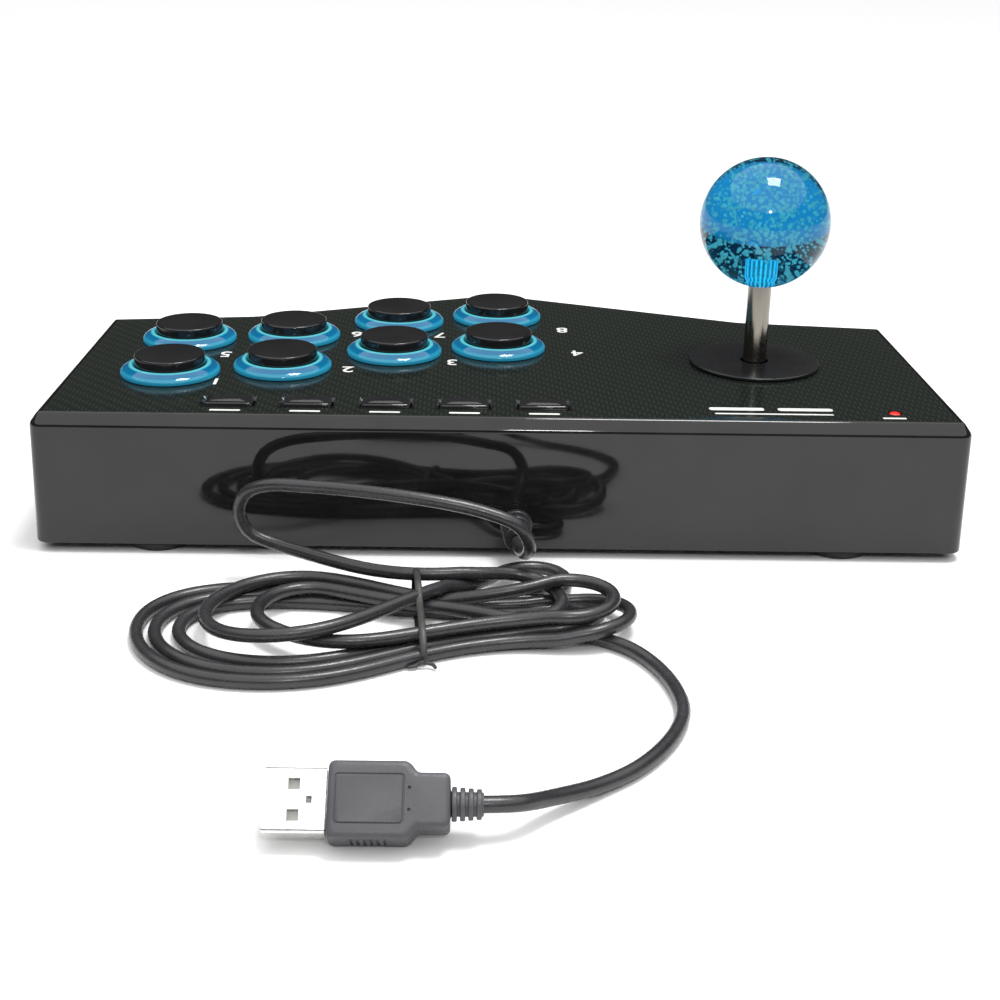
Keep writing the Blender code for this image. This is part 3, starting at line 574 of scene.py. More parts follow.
def add_loft(bm, rings, ends=True, closed=False):
    """Joins rings that all have the same number of points, and caps the ends or closes the last on the first."""
    made = [[bm.verts.new(p) for p in ring] for ring in rings]
    count = len(made[0])
    for a, b in zip(made, made[1:] + made[:1] if closed else made[1:]):
        for i in range(count):
            j = (i + 1) % count
            bm.faces.new((a[i], a[j], b[j], b[i]))
    if ends:
        bm.faces.new(reversed(made[0]))
        bm.faces.new(made[-1])


def lofted(name, rings, **how):
    bm = bmesh.new()
    add_loft(bm, rings, **how)
    return mesh_from(bm, name)


def carve(obj, meshes, operation="DIFFERENCE"):
    """Cuts or joins each mesh in turn, and applies the result."""
    helpers = []
    for mesh in meshes:
        helper = bpy.data.objects.new("helper", mesh)
        bpy.context.scene.collection.objects.link(helper)
        helpers.append(helper)
        step = obj.modifiers.new("step", "BOOLEAN")
        step.operation = operation
        step.object = helper
        step.solver = "EXACT"
    result = evaluated_mesh(obj)
    obj.modifiers.clear()
    obj.data = result
    for helper in helpers:
        bpy.data.objects.remove(helper)


def evaluated_mesh(obj):
    bpy.context.view_layer.update()
    graph = bpy.context.evaluated_depsgraph_get()
    return bpy.data.meshes.new_from_object(obj.evaluated_get(graph))


def cylinders(places, radius, low, high, steps=48):
    bm = bmesh.new()
    for x, y in places:
        bmesh.ops.create_cone(
            bm,
            cap_ends=True,
            segments=steps,
            radius1=radius,
            radius2=radius,
            depth=high - low,
            matrix=Matrix.Translation((x, y, (low + high) / 2)),
        )
    return mesh_from(bm, "cylinders")


def rounded_box_outline(width, length, radius, steps=6):
    corners = [(across * width / 2, along * length / 2) for across, along in ((1, -1), (1, 1), (-1, 1), (-1, -1))]
    return rounded(corners, radius, steps, closed=True)


def ring_at(outline, x, y, height, share=1.0):
    return [(x + p.x * share, y + p.y * share, height) for p in outline]


def prisms(boxes, low, high):
    """Upright prisms with rounded corners, each given as x, y, width, length and corner radius."""
    bm = bmesh.new()
    for x, y, width, length, radius in boxes:
        outline = rounded_box_outline(width, length, radius)
        add_loft(bm, [ring_at(outline, x, y, height) for height in (low, high)])
    return mesh_from(bm, "prisms")


def blocks(places_and_sizes):
    bm = bmesh.new()
    for place, size in places_and_sizes:
        matrix = Matrix.Translation(place) @ Matrix.Diagonal((*size, 1))
        bmesh.ops.create_cube(bm, size=1.0, matrix=matrix)
    return mesh_from(bm, "blocks")


def smooth_route(route, spacing):
    """Points about one spacing apart along a smooth curve through the route."""
    points = [Vector(p) for p in route]
    ends = [2 * points[0] - points[1]] + points + [2 * points[-1] - points[-2]]
    dense = []
    for a, b, c, d in zip(ends, ends[1:], ends[2:], ends[3:]):
        for step in range(24):
            t = step / 24
            square = (2 * a - 5 * b + 4 * c - d) * t**2
            dense.append(0.5 * (2 * b + (c - a) * t + square + (3 * b - a - 3 * c + d) * t**3))
    dense.append(points[-1])
    total = sum((q - p).length for p, q in zip(dense, dense[1:]))
    count = max(round(total / spacing), 2)
    chosen = [dense[0]]
    travelled = 0.0
    for p, q in zip(dense, dense[1:]):
        step = (q - p).length
        while len(chosen) < count and travelled + step >= total * len(chosen) / count:
            chosen.append(p.lerp(q, (total * len(chosen) / count - travelled) / step))
        travelled += step
    return chosen + [dense[-1]]


def tube_curve(name, points, radius, resolution=5):
    curve = bpy.data.curves.new(name, "CURVE")
    curve.dimensions = "3D"
    curve.bevel_depth = radius
    curve.bevel_resolution = resolution
    curve.use_fill_caps = True
    spline = curve.splines.new("POLY")
    spline.points.add(len(points) - 1)
    for point, place in zip(spline.points, points):
        point.co = (*place, 1)
    spline.use_smooth = True
    return curve


# ---------------------------------------------------------------- lead


def lead_points():
    """The whole lead: off the wall, through the folded turns, and on to the plug."""
    mm = 0.001
    # Each entry is one stretch between two passes under the tie, in millimetres.
    first = (
        (43.5, 83.4, 8.8), (38, 87.3, 8.8), (33, 90.4, 8.8), (26, 92.9, 8.8), (19, 93.4, 8.8), (10, 92.8, 8.8),
        (2, 90.0, 8.6), (-5, 89.2, 7.4), (-11.5, 91.0, 5.8), (-17.5, 95.0, 5.2), (-20.5, 100.5, 5.1),
        (-18.5, 105.0, 5.1), (-12, 106.8, 5.1), (-4, 105.8, 5.1), (7, 103.2, 5.1), (19, 101.4, 5.1),
    )
    small_loop = (
        (30, 97.8, 5.1), (40.6, 92.8, 5.1), (49.3, 90.9, 5.1), (55.8, 94.0, 5.1), (58.4, 101, 5.1),
        (56, 109.5, 5.1), (49, 117.5, 5.1), (40, 121.6, 5.1), (29, 120.6, 5.1), (19, 115.5, 5.1),
        (6, 110.8, 5.3), (-8, 109.6, 6.4), (-20, 109.4, 8.2), (-28, 107.5, 8.4), (-32.6, 102.5, 8.4),
        (-31, 97.0, 8.4), (-24.5, 95.0, 8.4), (-14, 97.3, 8.4), (-2, 99.4, 8.0), (8, 98.8, 5.8),
        (19, 97.4, 5.1),
    )
    crossing_loop = (
        (25, 95.2, 5.1), (32.4, 90.2, 5.1), (41.2, 85.8, 5.1), (49.5, 84.6, 5.1), (58, 87.6, 5.1),
        (65.2, 94.3, 5.1), (70, 104, 5.1), (68, 113.5, 5.3), (61.5, 120.8, 6.4), (51.2, 125.0, 8.4),
        (40, 122.8, 8.7), (31, 116.1, 8.8), (25, 109, 8.7), (19, 102, 8.6), (13.5, 97.0, 7.6), (7.5, 92.0, 5.2),
        (2.5, 86, 3.4), (-2, 78.5, 2.4), (-7, 72.5, 2.4), (-13, 70.0, 2.6), (-18.6, 73.5, 2.8),
        (-20.8, 80, 2.6), (-18.5, 86.5, 2.2), (-11, 89.9, 1.8), (2, 90.6, 1.8), (19, 90.8, 1.8),
    )
    outer_loop = (
        (30, 87.5, 1.8), (42, 85.7, 1.8), (55, 85.2, 1.8), (68.8, 86.4, 1.8), (77.5, 89.5, 1.8),
        (83.2, 95.8, 1.8), (85.2, 105, 1.8), (83, 116, 1.8), (76, 126, 1.8), (66, 132, 1.8), (54, 133.5, 1.8),
        (40, 132.3, 1.8), (29, 127.0, 1.8), (19, 119.6, 1.8), (5, 113.6, 1.8), (-8, 112.3, 2.4),
        (-19, 112.6, 4.4), (-28, 111, 5.1), (-34, 105, 5.1), (-33.4, 97.5, 5.0), (-26, 93.6, 3.2),
        (-14, 93.4, 1.8), (2, 94.2, 1.8), (19, 94.4, 1.8),
    )
    second_loop = (
        (30, 91.2, 1.8), (42, 89.4, 1.8), (56, 88.9, 1.8), (68, 90.1, 1.8), (75.3, 93.6, 1.8), (79.8, 100, 1.8),
        (81.0, 108.5, 1.8), (77.8, 117.5, 1.8), (70.8, 125, 1.8), (60, 129.4, 1.8), (48, 129.6, 1.8),
        (37, 127.0, 1.8), (28, 121.8, 1.8), (19, 115.9, 1.8), (5, 110.0, 1.8), (-8, 108.8, 2.4),
        (-18, 108.9, 4.2), (-26, 107.2, 5.0), (-30, 102.5, 5.0), (-28.0, 98.0, 4.2), (-21, 97.2, 2.2),
        (-10, 97.4, 1.8), (4, 98.0, 1.8), (19, 98.0, 1.8),
    )
    inner_loop = (
        (31, 95.0, 1.8), (44, 93.2, 1.8), (57, 92.8, 1.8), (67, 94.0, 1.8), (73.2, 98.5, 1.8), (75.8, 105, 1.8),
        (74.5, 113, 1.8), (69, 120, 1.8), (59.7, 124.2, 1.8), (48, 125.3, 1.8), (37, 122.6, 1.8),
        (28, 117.6, 1.8), (19, 112.2, 1.8), (6, 106.6, 1.8), (-6, 105.4, 1.8), (-17, 108.2, 1.8),
    )
    stretches = first + small_loop + crossing_loop + outer_loop + second_loop + inner_loop
    turns = [(x * mm, y * mm, z * mm) for x, y, z in stretches]
    points = smooth_route([*LEAD_ROUTE, *turns, *TAIL_ROUTE], 0.0022)
    return settled(np.array([tuple(p) for p in points]))


def settled(points):
    """Pushes strands apart where they would share space, eases tight bends and keeps the lead off the floor."""
    diameter = 2 * CORD_RADIUS
    count = len(points)
    held = np.zeros(count, bool)
    held[:ARC_POINTS] = True
    held[-TAIL_POINTS:] = True
    start = points.copy()
    index = np.arange(count)
    far_apart = np.abs(index[:, None] - index[None, :]) > 6
    spacing = np.linalg.norm(np.diff(points, axis=0), axis=1).mean()
    for _ in range(240):
        gap = points[:, None, :] - points[None, :, :]
        distance = np.linalg.norm(gap, axis=2)
        near = far_apart & (distance < diameter * 1.03)
        away = gap / np.maximum(distance, 1e-6)[:, :, None]
        push = (away * ((diameter * 1.03 - distance) * near)[:, :, None]).sum(axis=1)
        size = np.linalg.norm(push, axis=1, keepdims=True)
        push *= np.minimum(1.0, 0.0005 / np.maximum(size, 1e-9))
        moved = points + 0.45 * push
        for reach in (3, 2, 1):
            sag = (moved[: -2 * reach] + moved[2 * reach :]) / 2 - moved[reach:-reach]
            depth = np.linalg.norm(sag, axis=1, keepdims=True)
            chord = np.linalg.norm(moved[2 * reach :] - moved[: -2 * reach], axis=1, keepdims=True)
            allowed = chord**2 / (8 * LEAST_BEND)
            ease = sag * np.maximum(depth - allowed, 0.0) / np.maximum(depth, 1e-9) * 0.5
            moved[reach:-reach] += ease
            moved[: -2 * reach] -= ease / 2
            moved[2 * reach :] -= ease / 2
        link = np.diff(moved, axis=0)
        stretch = np.linalg.norm(link, axis=1, keepdims=True)
        pull = link / np.maximum(stretch, 1e-9) * (stretch - spacing) * 0.3
        moved[:-1] += pull
        moved[1:] -= pull
        smooth = np.zeros_like(points)
        smooth[1:-1] = (moved[:-2] + moved[2:]) / 2 - moved[1:-1]
        moved += 0.12 * smooth + 0.002 * (start - moved)
        moved[:, 2] = np.maximum(moved[:, 2], CORD_RADIUS + 0.0001)
        moved[held] = start[held]
        points = moved
    return [Vector(p) for p in points]


lead = new_piece(
    "usb_lead",
    tube_curve("usb_lead", lead_points(), CORD_RADIUS),
    "pvc",
    "panel_case",
    ["cord_lead", "cord_hank", "cord_tail"],
    sharp=None,
)


# ---------------------------------------------------------------- case


def case_corners():
    """The corners of the case outline, anticlockwise from above, each with its rounding radius."""
    slope = math.atan2(CASE_DEPTH - BEND_DEPTH, BEND_HALF_WIDTH)
    point_depth = CASE_DEPTH + POINT_RADIUS * (1 / math.cos(slope) - 1)
    right = [
        (REAR_HALF_WIDTH, 0.0, CORNER_RADIUS),
        (FRONT_HALF_WIDTH, SIDE_DEPTH, CORNER_RADIUS),
        (BEND_HALF_WIDTH, BEND_DEPTH, BEND_RADIUS),
    ]
    loop = [(-x, depth, radius) for x, depth, radius in right]
    loop.append((0.0, point_depth, POINT_RADIUS))
    loop += reversed(right)
    return [(Vector((x, REAR_Y - depth)), radius) for x, depth, radius in loop]


def case_outline(inset):
    """Points of the case outline moved inwards by inset, with every corner an arc."""
    corners = case_corners()
    count = len(corners)
    points = []
    for i, (corner, radius) in enumerate(corners):
        before = (corner - corners[i - 1][0]).normalized()
        after = (corners[(i + 1) % count][0] - corner).normalized()
        inward = (Vector((-before.y, before.x)) + Vector((-after.y, after.x))).normalized()
        half_turn = before.angle(after) / 2
        corner = corner + inward * (inset / math.cos(half_turn))
        radius = max(radius - inset, 0.0006)
        centre = corner + inward * (radius / math.cos(half_turn))
        start = math.atan2(-inward.y, -inward.x) - half_turn
        for step in range(CORNER_STEPS + 1):
            angle = start + 2 * half_turn * step / CORNER_STEPS
            points.append(centre + radius * Vector((math.cos(angle), math.sin(angle))))
    return points


def case_mesh(name, sections):
    return lofted(name, [[(*p, height) for p in case_outline(inset)] for inset, height in sections])


def button_places():
    rear = [(x, rear_y) for x, rear_y, _ in BUTTON_COLUMNS]
    front = [(x, front_y) for x, _, front_y in BUTTON_COLUMNS]
    return rear + front


def key_places():
    return [(KEY_FIRST_X - KEY_PITCH * i, KEY_Y) for i in range(KEY_COUNT)]


def deck_holes(low, high):
    return (
        cylinders(button_places(), BARREL_RADIUS + GAP, low, high),
        cylinders([(STICK_X, STICK_Y)], STICK_HOLE_RADIUS, low, high),
        cylinders([LED_AT], LED_RADIUS + GAP, low, high, 24),
    )


def make_case():
    corners = (
        (0.0014, FOOT_HEIGHT),
        (-DRAFT, FOOT_HEIGHT),
        (0.0, DECK_TOP - EDGE_HEIGHT),
        (EDGE_WIDTH, DECK_TOP),
        (0.0050, DECK_TOP),
    )
    sections = [tuple(p) for p in rounded(corners, [0, 0.0004, 0.0007, 0.0006, 0], 4)]
    shell = new_piece("case_shell", case_mesh("case_shell", sections), "case", sharp=None)
    inner_shoulder = DECK_UNDERSIDE - EDGE_HEIGHT
    cavity = case_mesh("cavity", ((WALL, 0.0), (WALL, inner_shoulder), (WALL + EDGE_WIDTH, DECK_UNDERSIDE)))
    floor = DECK_TOP - OVERLAY_THICKNESS - GAP
    recess = case_mesh("recess", ((OVERLAY_INSET - 0.00015, floor), (OVERLAY_INSET - 0.00015, 0.05)))
    through = (DECK_UNDERSIDE - 0.002, DECK_TOP + 0.002)
    gland = cylinders(((0, 0),), 0.0036, -0.004, 0.004)
    gland_place = Matrix.Translation((GLAND_AT[0], REAR_Y - WALL / 2, GLAND_AT[1]))
    gland.transform(gland_place @ Matrix.Rotation(math.pi / 2, 4, "X"))
    key_hole = (KEY_SIZE[0] + 2 * GAP, KEY_SIZE[1] + 2 * GAP, 0.0008)
    carve(shell, [cavity, recess])
    carve(shell, [cylinders(BOSSES, BOSS_RADIUS, BASE_TOP + GAP, DECK_UNDERSIDE + 0.001, 32)], "UNION")
    carve(
        shell,
        [
            cylinders(BOSSES, SCREW_RADIUS + GAP, 0.0, SCREW_TOP + 0.001, 24),
            *deck_holes(*through),
            prisms([(x, y, *key_hole) for x, y in key_places()], *through),
            gland,
        ],
    )
    seated(shell, "panel_case", ["top_shell"], 30)


def make_sheet():
    corners = (
        (OVERLAY_INSET + 0.0010, DECK_TOP - OVERLAY_THICKNESS),
        (OVERLAY_INSET, DECK_TOP - OVERLAY_THICKNESS),
        (OVERLAY_INSET, DECK_TOP),
        (OVERLAY_INSET + 0.0030, DECK_TOP),
    )
    sections = [tuple(p) for p in rounded(corners, [0, 0, 0.00018, 0], 3)]
    sheet = new_piece("deck_sheet", case_mesh("deck_sheet", sections), "twill", sharp=None)
    through = (DECK_TOP - 0.002, DECK_TOP + 0.002)
    key_slots = prisms([(x, y, *OVERLAY_SLOT, 0.0007) for x, y in key_places()], *through)
    carve(sheet, [*deck_holes(*through), key_slots])
    seated(sheet, "panel_case", ["panel_overlay"], 30)


def make_feet():
    for name, (x, y) in FEET.items():
        top = FOOT_HEIGHT - GAP
        outside = ((FOOT_RADIUS, top), (FOOT_RADIUS - 0.0004, 0.0), (FOOT_RADIUS - 0.0022, 0.0))
        profile = rounded(((0, top), *outside, (0, 0.0003)), [0, 0.0004, 0.0007, 0.0003, 0], 4)
        mesh = lathe(f"rubber_foot_{name}", profile, 64, turn=Matrix.Translation((x, y, 0)))
        new_piece(f"rubber_foot_{name}", mesh, "rubber", "panel_case", [f"foot_{name}"])


make_case()
make_sheet()
make_feet()


# ---------------------------------------------------------------- buttons, keys and lamp


def make_button(number, x, y):
    place = Matrix.Translation((x, y, DECK_TOP))
    crown = (
        (BORE_RADIUS, 0.0004),
        (BORE_RADIUS, 0.0028),
        (0.0107, 0.0028),
        (0.0125, 0.0019),
        (RIM_RADIUS, 0.0011),
        (RIM_RADIUS, GAP),
    )
    barrel = (
        (BARREL_RADIUS, GAP),
        (BARREL_RADIUS, -BARREL_DEPTH),
        (0.0040, -BARREL_DEPTH),
        (0.0040, -BARREL_DEPTH + 0.0014),
        (BORE_RADIUS, -BARREL_DEPTH + 0.0014),
    )
    profile = [*rounded(crown, [0, 0.0004, 0.0006, 0.0006, 0.0005, 0], 5), *barrel]
    rim = lathe(f"rim_{number}", profile, 72, ring=True, turn=place)
    new_piece(rim.name, rim, "rim", "panel_case", [f"button_rim_{number}"], sharp=40)
    cap = (
        (0, PLUNGER_RISE - 0.0003),
        (0.0070, PLUNGER_RISE - 0.0002),
        (PLUNGER_RADIUS, PLUNGER_RISE),
        (PLUNGER_RADIUS, -0.0050),
    )
    stem = ((0.0030, -0.0050), (0.0030, -0.0110), (0.0016, -0.0110), (0.0016, -0.0146), (0, -0.0146))
    profile = [*rounded(cap, [0, 0.0020, 0.0006, 0], 6), *stem]
    plunger = lathe(f"plunger_{number}", profile, 72, turn=place)
    body = f"button_{number}"
    new_piece(plunger.name, plunger, "plunger", body, [f"button_plunger_{number}"], sharp=40)


def make_key(number, x, y):
    """A key with a crowned top, rounded edges and a flange under the deck."""
    width, length = KEY_SIZE
    outline = rounded_box_outline(width, length, KEY_CORNER)
    tops = [(outline, share, 0.0) for share in (0.12, 0.35, 0.58, 0.78, 0.90)]
    for inset, drop in ((0.00035, 0.0), (0.00010, 0.0001), (0.0, 0.00035)):
        tops.append((rounded_box_outline(width - 2 * inset, length - 2 * inset, KEY_CORNER), 1.0, drop))
    rings = []
    for shape, share, drop in tops:
        crown = [KEY_CROWN * (1 - (2 * p.x * share / width) ** 2) for p in shape]
        level = ring_at(shape, x, y, DECK_TOP + 0.0004 - drop, share)
        rings.append([(px, py, height + rise) for (px, py, height), rise in zip(level, crown)])
    flange = rounded_box_outline(*KEY_FLANGE, KEY_CORNER)
    rings.append(ring_at(outline, x, y, DECK_UNDERSIDE - GAP))
    rings.append(ring_at(flange, x, y, DECK_UNDERSIDE - GAP))
    rings.append(ring_at(flange, x, y, KEY_BOTTOM))
    name = f"key_{number}_cap"
    new_piece(name, lofted(name, rings), "keys", f"key_{number}", [f"function_key_{number}"], sharp=40)


def make_key_surround(number, x, y):
    """The sloped frame let into the sheet round each key."""
    outer = rounded_box_outline(OVERLAY_SLOT[0] - 0.0001, OVERLAY_SLOT[1] - 0.0001, 0.0007)
    inner = rounded_box_outline(KEY_SIZE[0] + 2 * GAP, KEY_SIZE[1] + 2 * GAP, KEY_CORNER)
    low = DECK_TOP - OVERLAY_THICKNESS - GAP + 0.00005
    rings = [
        ring_at(inner, x, y, low),
        ring_at(outer, x, y, low),
        ring_at(outer, x, y, DECK_TOP + 0.00012),
        [(x + p.x * 0.985, y + p.y * 0.97, DECK_TOP + 0.00014) for p in outer],
        ring_at(inner, x, y, low + 0.0002),
    ]
    name = f"key_surround_{number}"
    new_piece(name, lofted(name, rings, ends=False, closed=True), "keys", "panel_case", (), sharp=30)


def make_lamp():
    corners = (
        (0, DECK_TOP + 0.0002),
        (LED_RADIUS, DECK_TOP),
        (LED_RADIUS, BOARD_TOP + 0.0012),
        (LED_RADIUS + 0.0003, BOARD_TOP + 0.0012),
        (LED_RADIUS + 0.0003, BOARD_TOP + GAP),
        (0, BOARD_TOP + GAP),
    )
    profile = rounded(corners, [0, 0.0008, 0, 0.0001, 0.0001, 0], 6)
    mesh = lathe("status_lamp", profile, 40, turn=Matrix.Translation((*LED_AT, 0)))
    new_piece("status_lamp", mesh, "lamp", "panel_case", ["status_led"])


for number, (x, y) in enumerate(button_places(), 1):
    make_button(number, x, y)
for number, (x, y) in enumerate(key_places(), 1):
    make_key(number, x, y)
    make_key_surround(number, x, y)
make_lamp()


# ---------------------------------------------------------------- printing


def make_print():
    """Plain numbers beside the buttons, and short bars by the keys and the lamp."""
    ink_z = DECK_TOP + 0.00001
    numbers = (
        (0.0752, 0.0331), (0.0412, 0.0210), (0.0130, 0.0133), (-0.0222, 0.0031),
        (0.0762, 0.0084), (0.0411, -0.0133), (0.0168, -0.0134), (-0.0192, -0.0204),
    )
    for number, (x, y) in enumerate(numbers, 1):
        curve = bpy.data.curves.new(f"number_{number}", "FONT")
        curve.body = str(number)
        curve.size = 0.0070
        curve.offset = 0.00008
        curve.extrude = 0.00002
        curve.align_x = "CENTER"
        curve.align_y = "CENTER"
        text = bpy.data.objects.new("text", curve)
        text.location = (x, y, ink_z)
        bpy.context.scene.collection.objects.link(text)
        mesh = evaluated_mesh(text)
        mesh.transform(text.matrix_world)
        bpy.data.objects.remove(text)
        new_piece(f"number_{number}", mesh, "ink", "panel_case", (), sharp=None)
    bars = [(x, 0.0566, 0.0078, 0.0011) for x, _ in key_places()]
    bars += [(-0.0989, 0.0566, 0.0060, 0.0010)]
    bars += [(-0.0600, 0.0508, 0.0140, 0.0022), (-0.0775, 0.0508, 0.0140, 0.0022)]
    bars += [(-0.0690, 0.0545, 0.0300, 0.0009)]
    boxes = [(x, y, width, length, length * 0.45) for x, y, width, length in bars]
    mesh = prisms(boxes, ink_z - 0.00002, ink_z + 0.00002)
    new_piece("printed_bars", mesh, "ink", "panel_case", (), sharp=None)


make_print()


# ---------------------------------------------------------------- lever


def make_ball():
    hole_radius = 0.0046
    mouth = math.asin(hole_radius / BALL_RADIUS)
    steps = 44
    profile = []
    for step in range(steps + 1):
        angle = (math.pi - mouth) * step / steps
        profile.append((BALL_RADIUS * math.sin(angle), BALL_RADIUS * math.cos(angle)))
    profile += [(hole_radius, -0.0070), (0, -0.0070)]
    place = Matrix.Translation((STICK_X, STICK_Y, BALL_Z))
    mesh = lathe("ball", profile, 72, turn=place)
    new_piece("ball", mesh, "ball", "lever", ["ball_top"])


def bubble_places():
    """The centre and radius of each bubble: more near the top, none touching, none in the insert's hole."""
    draw = random.Random(7)
    made = []
    while len(made) < BUBBLE_COUNT:
        at = Vector((draw.uniform(-1, 1), draw.uniform(-1, 1), 1 - 1.8 * draw.random() ** 1.3)) * BALL_RADIUS
        radius = draw.choice((0.00016, 0.0002, 0.00024, 0.00028, 0.00032, 0.0004))
        inside = at.length + radius < BALL_RADIUS - 0.0008
        if not inside or (at.z < -0.0055 and math.hypot(at.x, at.y) < 0.0062):
            continue
        here = np.array(made or [(1.0, 1.0, 1.0, 0.0)])
        if np.all(np.linalg.norm(here[:, :3] - np.array(at), axis=1) > radius + here[:, 3] + 0.0001):
            made.append((*at, radius))
    return made


def make_bubbles():
    bm = bmesh.new()
    bmesh.ops.create_icosphere(bm, subdivisions=2, radius=1.0)
    sphere = np.array([tuple(v.co) for v in bm.verts])
    faces = [[v.index for v in face.verts] for face in bm.faces]
    bm.free()
    verts = []
    loops = []
    for x, y, z, radius in bubble_places():
        offset = len(verts)
        centre = np.array((STICK_X + x, STICK_Y + y, BALL_Z + z))
        verts += (sphere * radius + centre).tolist()
        loops += [[i + offset for i in face] for face in faces]
    mesh = bpy.data.meshes.new("ball_bubbles")
    mesh.from_pydata(verts, [], loops)
    new_piece("ball_bubbles", mesh, "bubble", "lever", (), sharp=60)


def make_insert():
    """The insert, with straight knurls round its outside and a plain groove at the middle."""
    steps = KNURLS * 6
    rows = 24
    top, bottom = -0.0073, -0.0165

    def knurled(angle, radius, height):
        if radius < 0.004:
            return radius
        flute = (1 + math.sin(angle * KNURLS)) / 2
        band = 0.0004 if abs(height - (top + bottom) / 2) < 0.0006 else 0.0
        return radius - 0.0005 * (1 - flute) - band

    profile = [(0.0043, top + (bottom - top) * i / rows) for i in range(rows + 1)]
    profile += [(THREAD_RADIUS + GAP, bottom), (THREAD_RADIUS + GAP, top)]
    place = Matrix.Translation((STICK_X, STICK_Y, BALL_Z))
    mesh = lathe("knurled_insert", profile, steps, ring=True, turn=place, radius_at=knurled)
    new_piece("knurled_insert", mesh, "insert", "lever", ["ball_insert"], sharp=20)


def make_shaft():
    shoulder = BALL_Z - 0.0168
    corners = (
        (0, BALL_Z - 0.0076),
        (THREAD_RADIUS, BALL_Z - 0.0076),
        (THREAD_RADIUS, shoulder),
        (SHAFT_RADIUS, shoulder),
        (SHAFT_RADIUS, 0.0200),
        (THREAD_RADIUS, 0.0200),
        (THREAD_RADIUS, SHAFT_BOTTOM),
        (0, SHAFT_BOTTOM),
    )
    profile = rounded(corners, [0, 0.0003, 0.0001, 0.0004, 0.0003, 0.0001, 0.0004, 0], 3)
    place = Matrix.Translation((STICK_X, STICK_Y, 0))
    shaft = new_piece("lever_shaft", lathe("lever_shaft", profile, 64, turn=place), "steel", sharp=None)
    pin = cylinders(((0, 0),), 0.0011, -0.0064, 0.0064, 32)
    pin.transform(Matrix.Translation((STICK_X, STICK_Y, PIVOT_Z)) @ Matrix.Rotation(math.pi / 2, 4, "X"))
    carve(shaft, [pin], "UNION")
    seated(shaft, "lever", ["stick_shaft"], 35)


def make_disc():
    bore = 0.0038
    corners = ((DISC_RADIUS, DISC_Z[0]), (DISC_RADIUS, DISC_Z[1]), (bore, DISC_Z[1]), (bore, DISC_Z[0]))
    profile = rounded(corners, [0.0002, 0.0004, 0.0003, 0.0001], 4, closed=True)
    mesh = lathe("dust_washer", profile, 96, ring=True, turn=Matrix.Translation((STICK_X, STICK_Y, 0)))
    new_piece("dust_washer", mesh, "disc", "dust_disc_body", ["dust_disc"], sharp=40)


make_ball()
make_bubbles()
make_insert()
make_shaft()
make_disc()


# ---------------------------------------------------------------- strain relief, tie and plug


def make_relief():
    """The ribbed grommet, turned about its own axis and laid along +Y."""
    inner = WALL + GAP + 0.0016
    tip = GLAND_TIP_Y - REAR_Y
    flange = -inner + 0.0016
    profile = [(0, -inner), (0.0044, -inner), (0.0044, flange), (0.0033, flange), (0.0033, 0.0006)]
    ribs = 4
    length = (tip - 0.0006) / ribs
    for rib in range(ribs):
        start = 0.0006 + length * rib
        radius = 0.0041 - 0.00028 * rib
        corners = (
            (radius - 0.0009, start),
            (radius, start + 0.0001),
            (radius, start + length * 0.66),
            (radius - 0.0009, start + length * 0.70),
        )
        profile += rounded(corners, [0, 0.0003, 0.0003, 0], 3)
    mouth = tip - 0.0012
    profile += [(0.0026, tip), (CORD_RADIUS + 0.0001, tip), (CORD_RADIUS - 0.0001, mouth), (0, mouth)]
    turn = Matrix.Translation((GLAND_AT[0], REAR_Y, GLAND_AT[1])) @ Matrix.Rotation(-math.pi / 2, 4, "X")
    mesh = lathe("lead_grommet", profile, 48, turn=turn)
    new_piece("lead_grommet", mesh, "pvc", "panel_case", ["strain_relief"], sharp=35)


def make_tie():
    """A flat wire tie hugging the bundle, its two ends twisted together on the near side."""
    mm = 0.001
    hug = (
        (88.2, 4.0), (89.4, 8.2), (93.5, 10.9), (101, 11.0), (106, 8.2), (116, 7.4),
        (120.8, 4.4), (121.8, 1.6), (118, 0.30), (92, 0.30), (88.6, 1.2),
    )
    loop = rounded([(y * mm, z * mm) for y, z in hug], 0.0020, 4, closed=True)
    half_width = 0.0008
    half_depth = 0.00028
    rings = []
    for i, p in enumerate(loop):
        tangent = (loop[(i + 1) % len(loop)] - loop[i - 1]).normalized()
        outward = Vector((tangent.y, -tangent.x))
        lean = 0.0016 * (p.x - 0.105) / 0.017
        ring = []
        for step in range(8):
            angle = 2 * math.pi * step / 8
            bulge = p + outward * (half_depth * math.sin(angle))
            ring.append((TIE_X - lean + half_width * math.cos(angle), bulge.x, bulge.y))
        rings.append(ring)
    mesh = lofted("wire_tie", rings, ends=False, closed=True)
    tie = new_piece("wire_tie", mesh, "tie", "panel_case", ["cord_tie"], sharp=50)
    knot = Vector((TIE_X - 0.0016, 0.1224, 0.0016))
    for name, side in (("wire_tie_end_left", 1), ("wire_tie_end_right", -1)):
        points = []
        for step in range(13):
            t = step / 12
            twist = t * 2 * math.pi * 1.2
            curl = Vector((math.sin(twist), math.cos(twist), 0)) * 0.0003
            points.append(knot + Vector((side * 0.0030, 0.0009, -0.0008)) * t + curl)
        new_piece(name, tube_curve(name, points, 0.00042, 3), "tie", "panel_case", (), sharp=None)
    return tie


def plug_matrix():
    return Matrix.Translation(PLUG_CENTRE) @ Matrix.Rotation(-PLUG_ROLL, 4, "X")


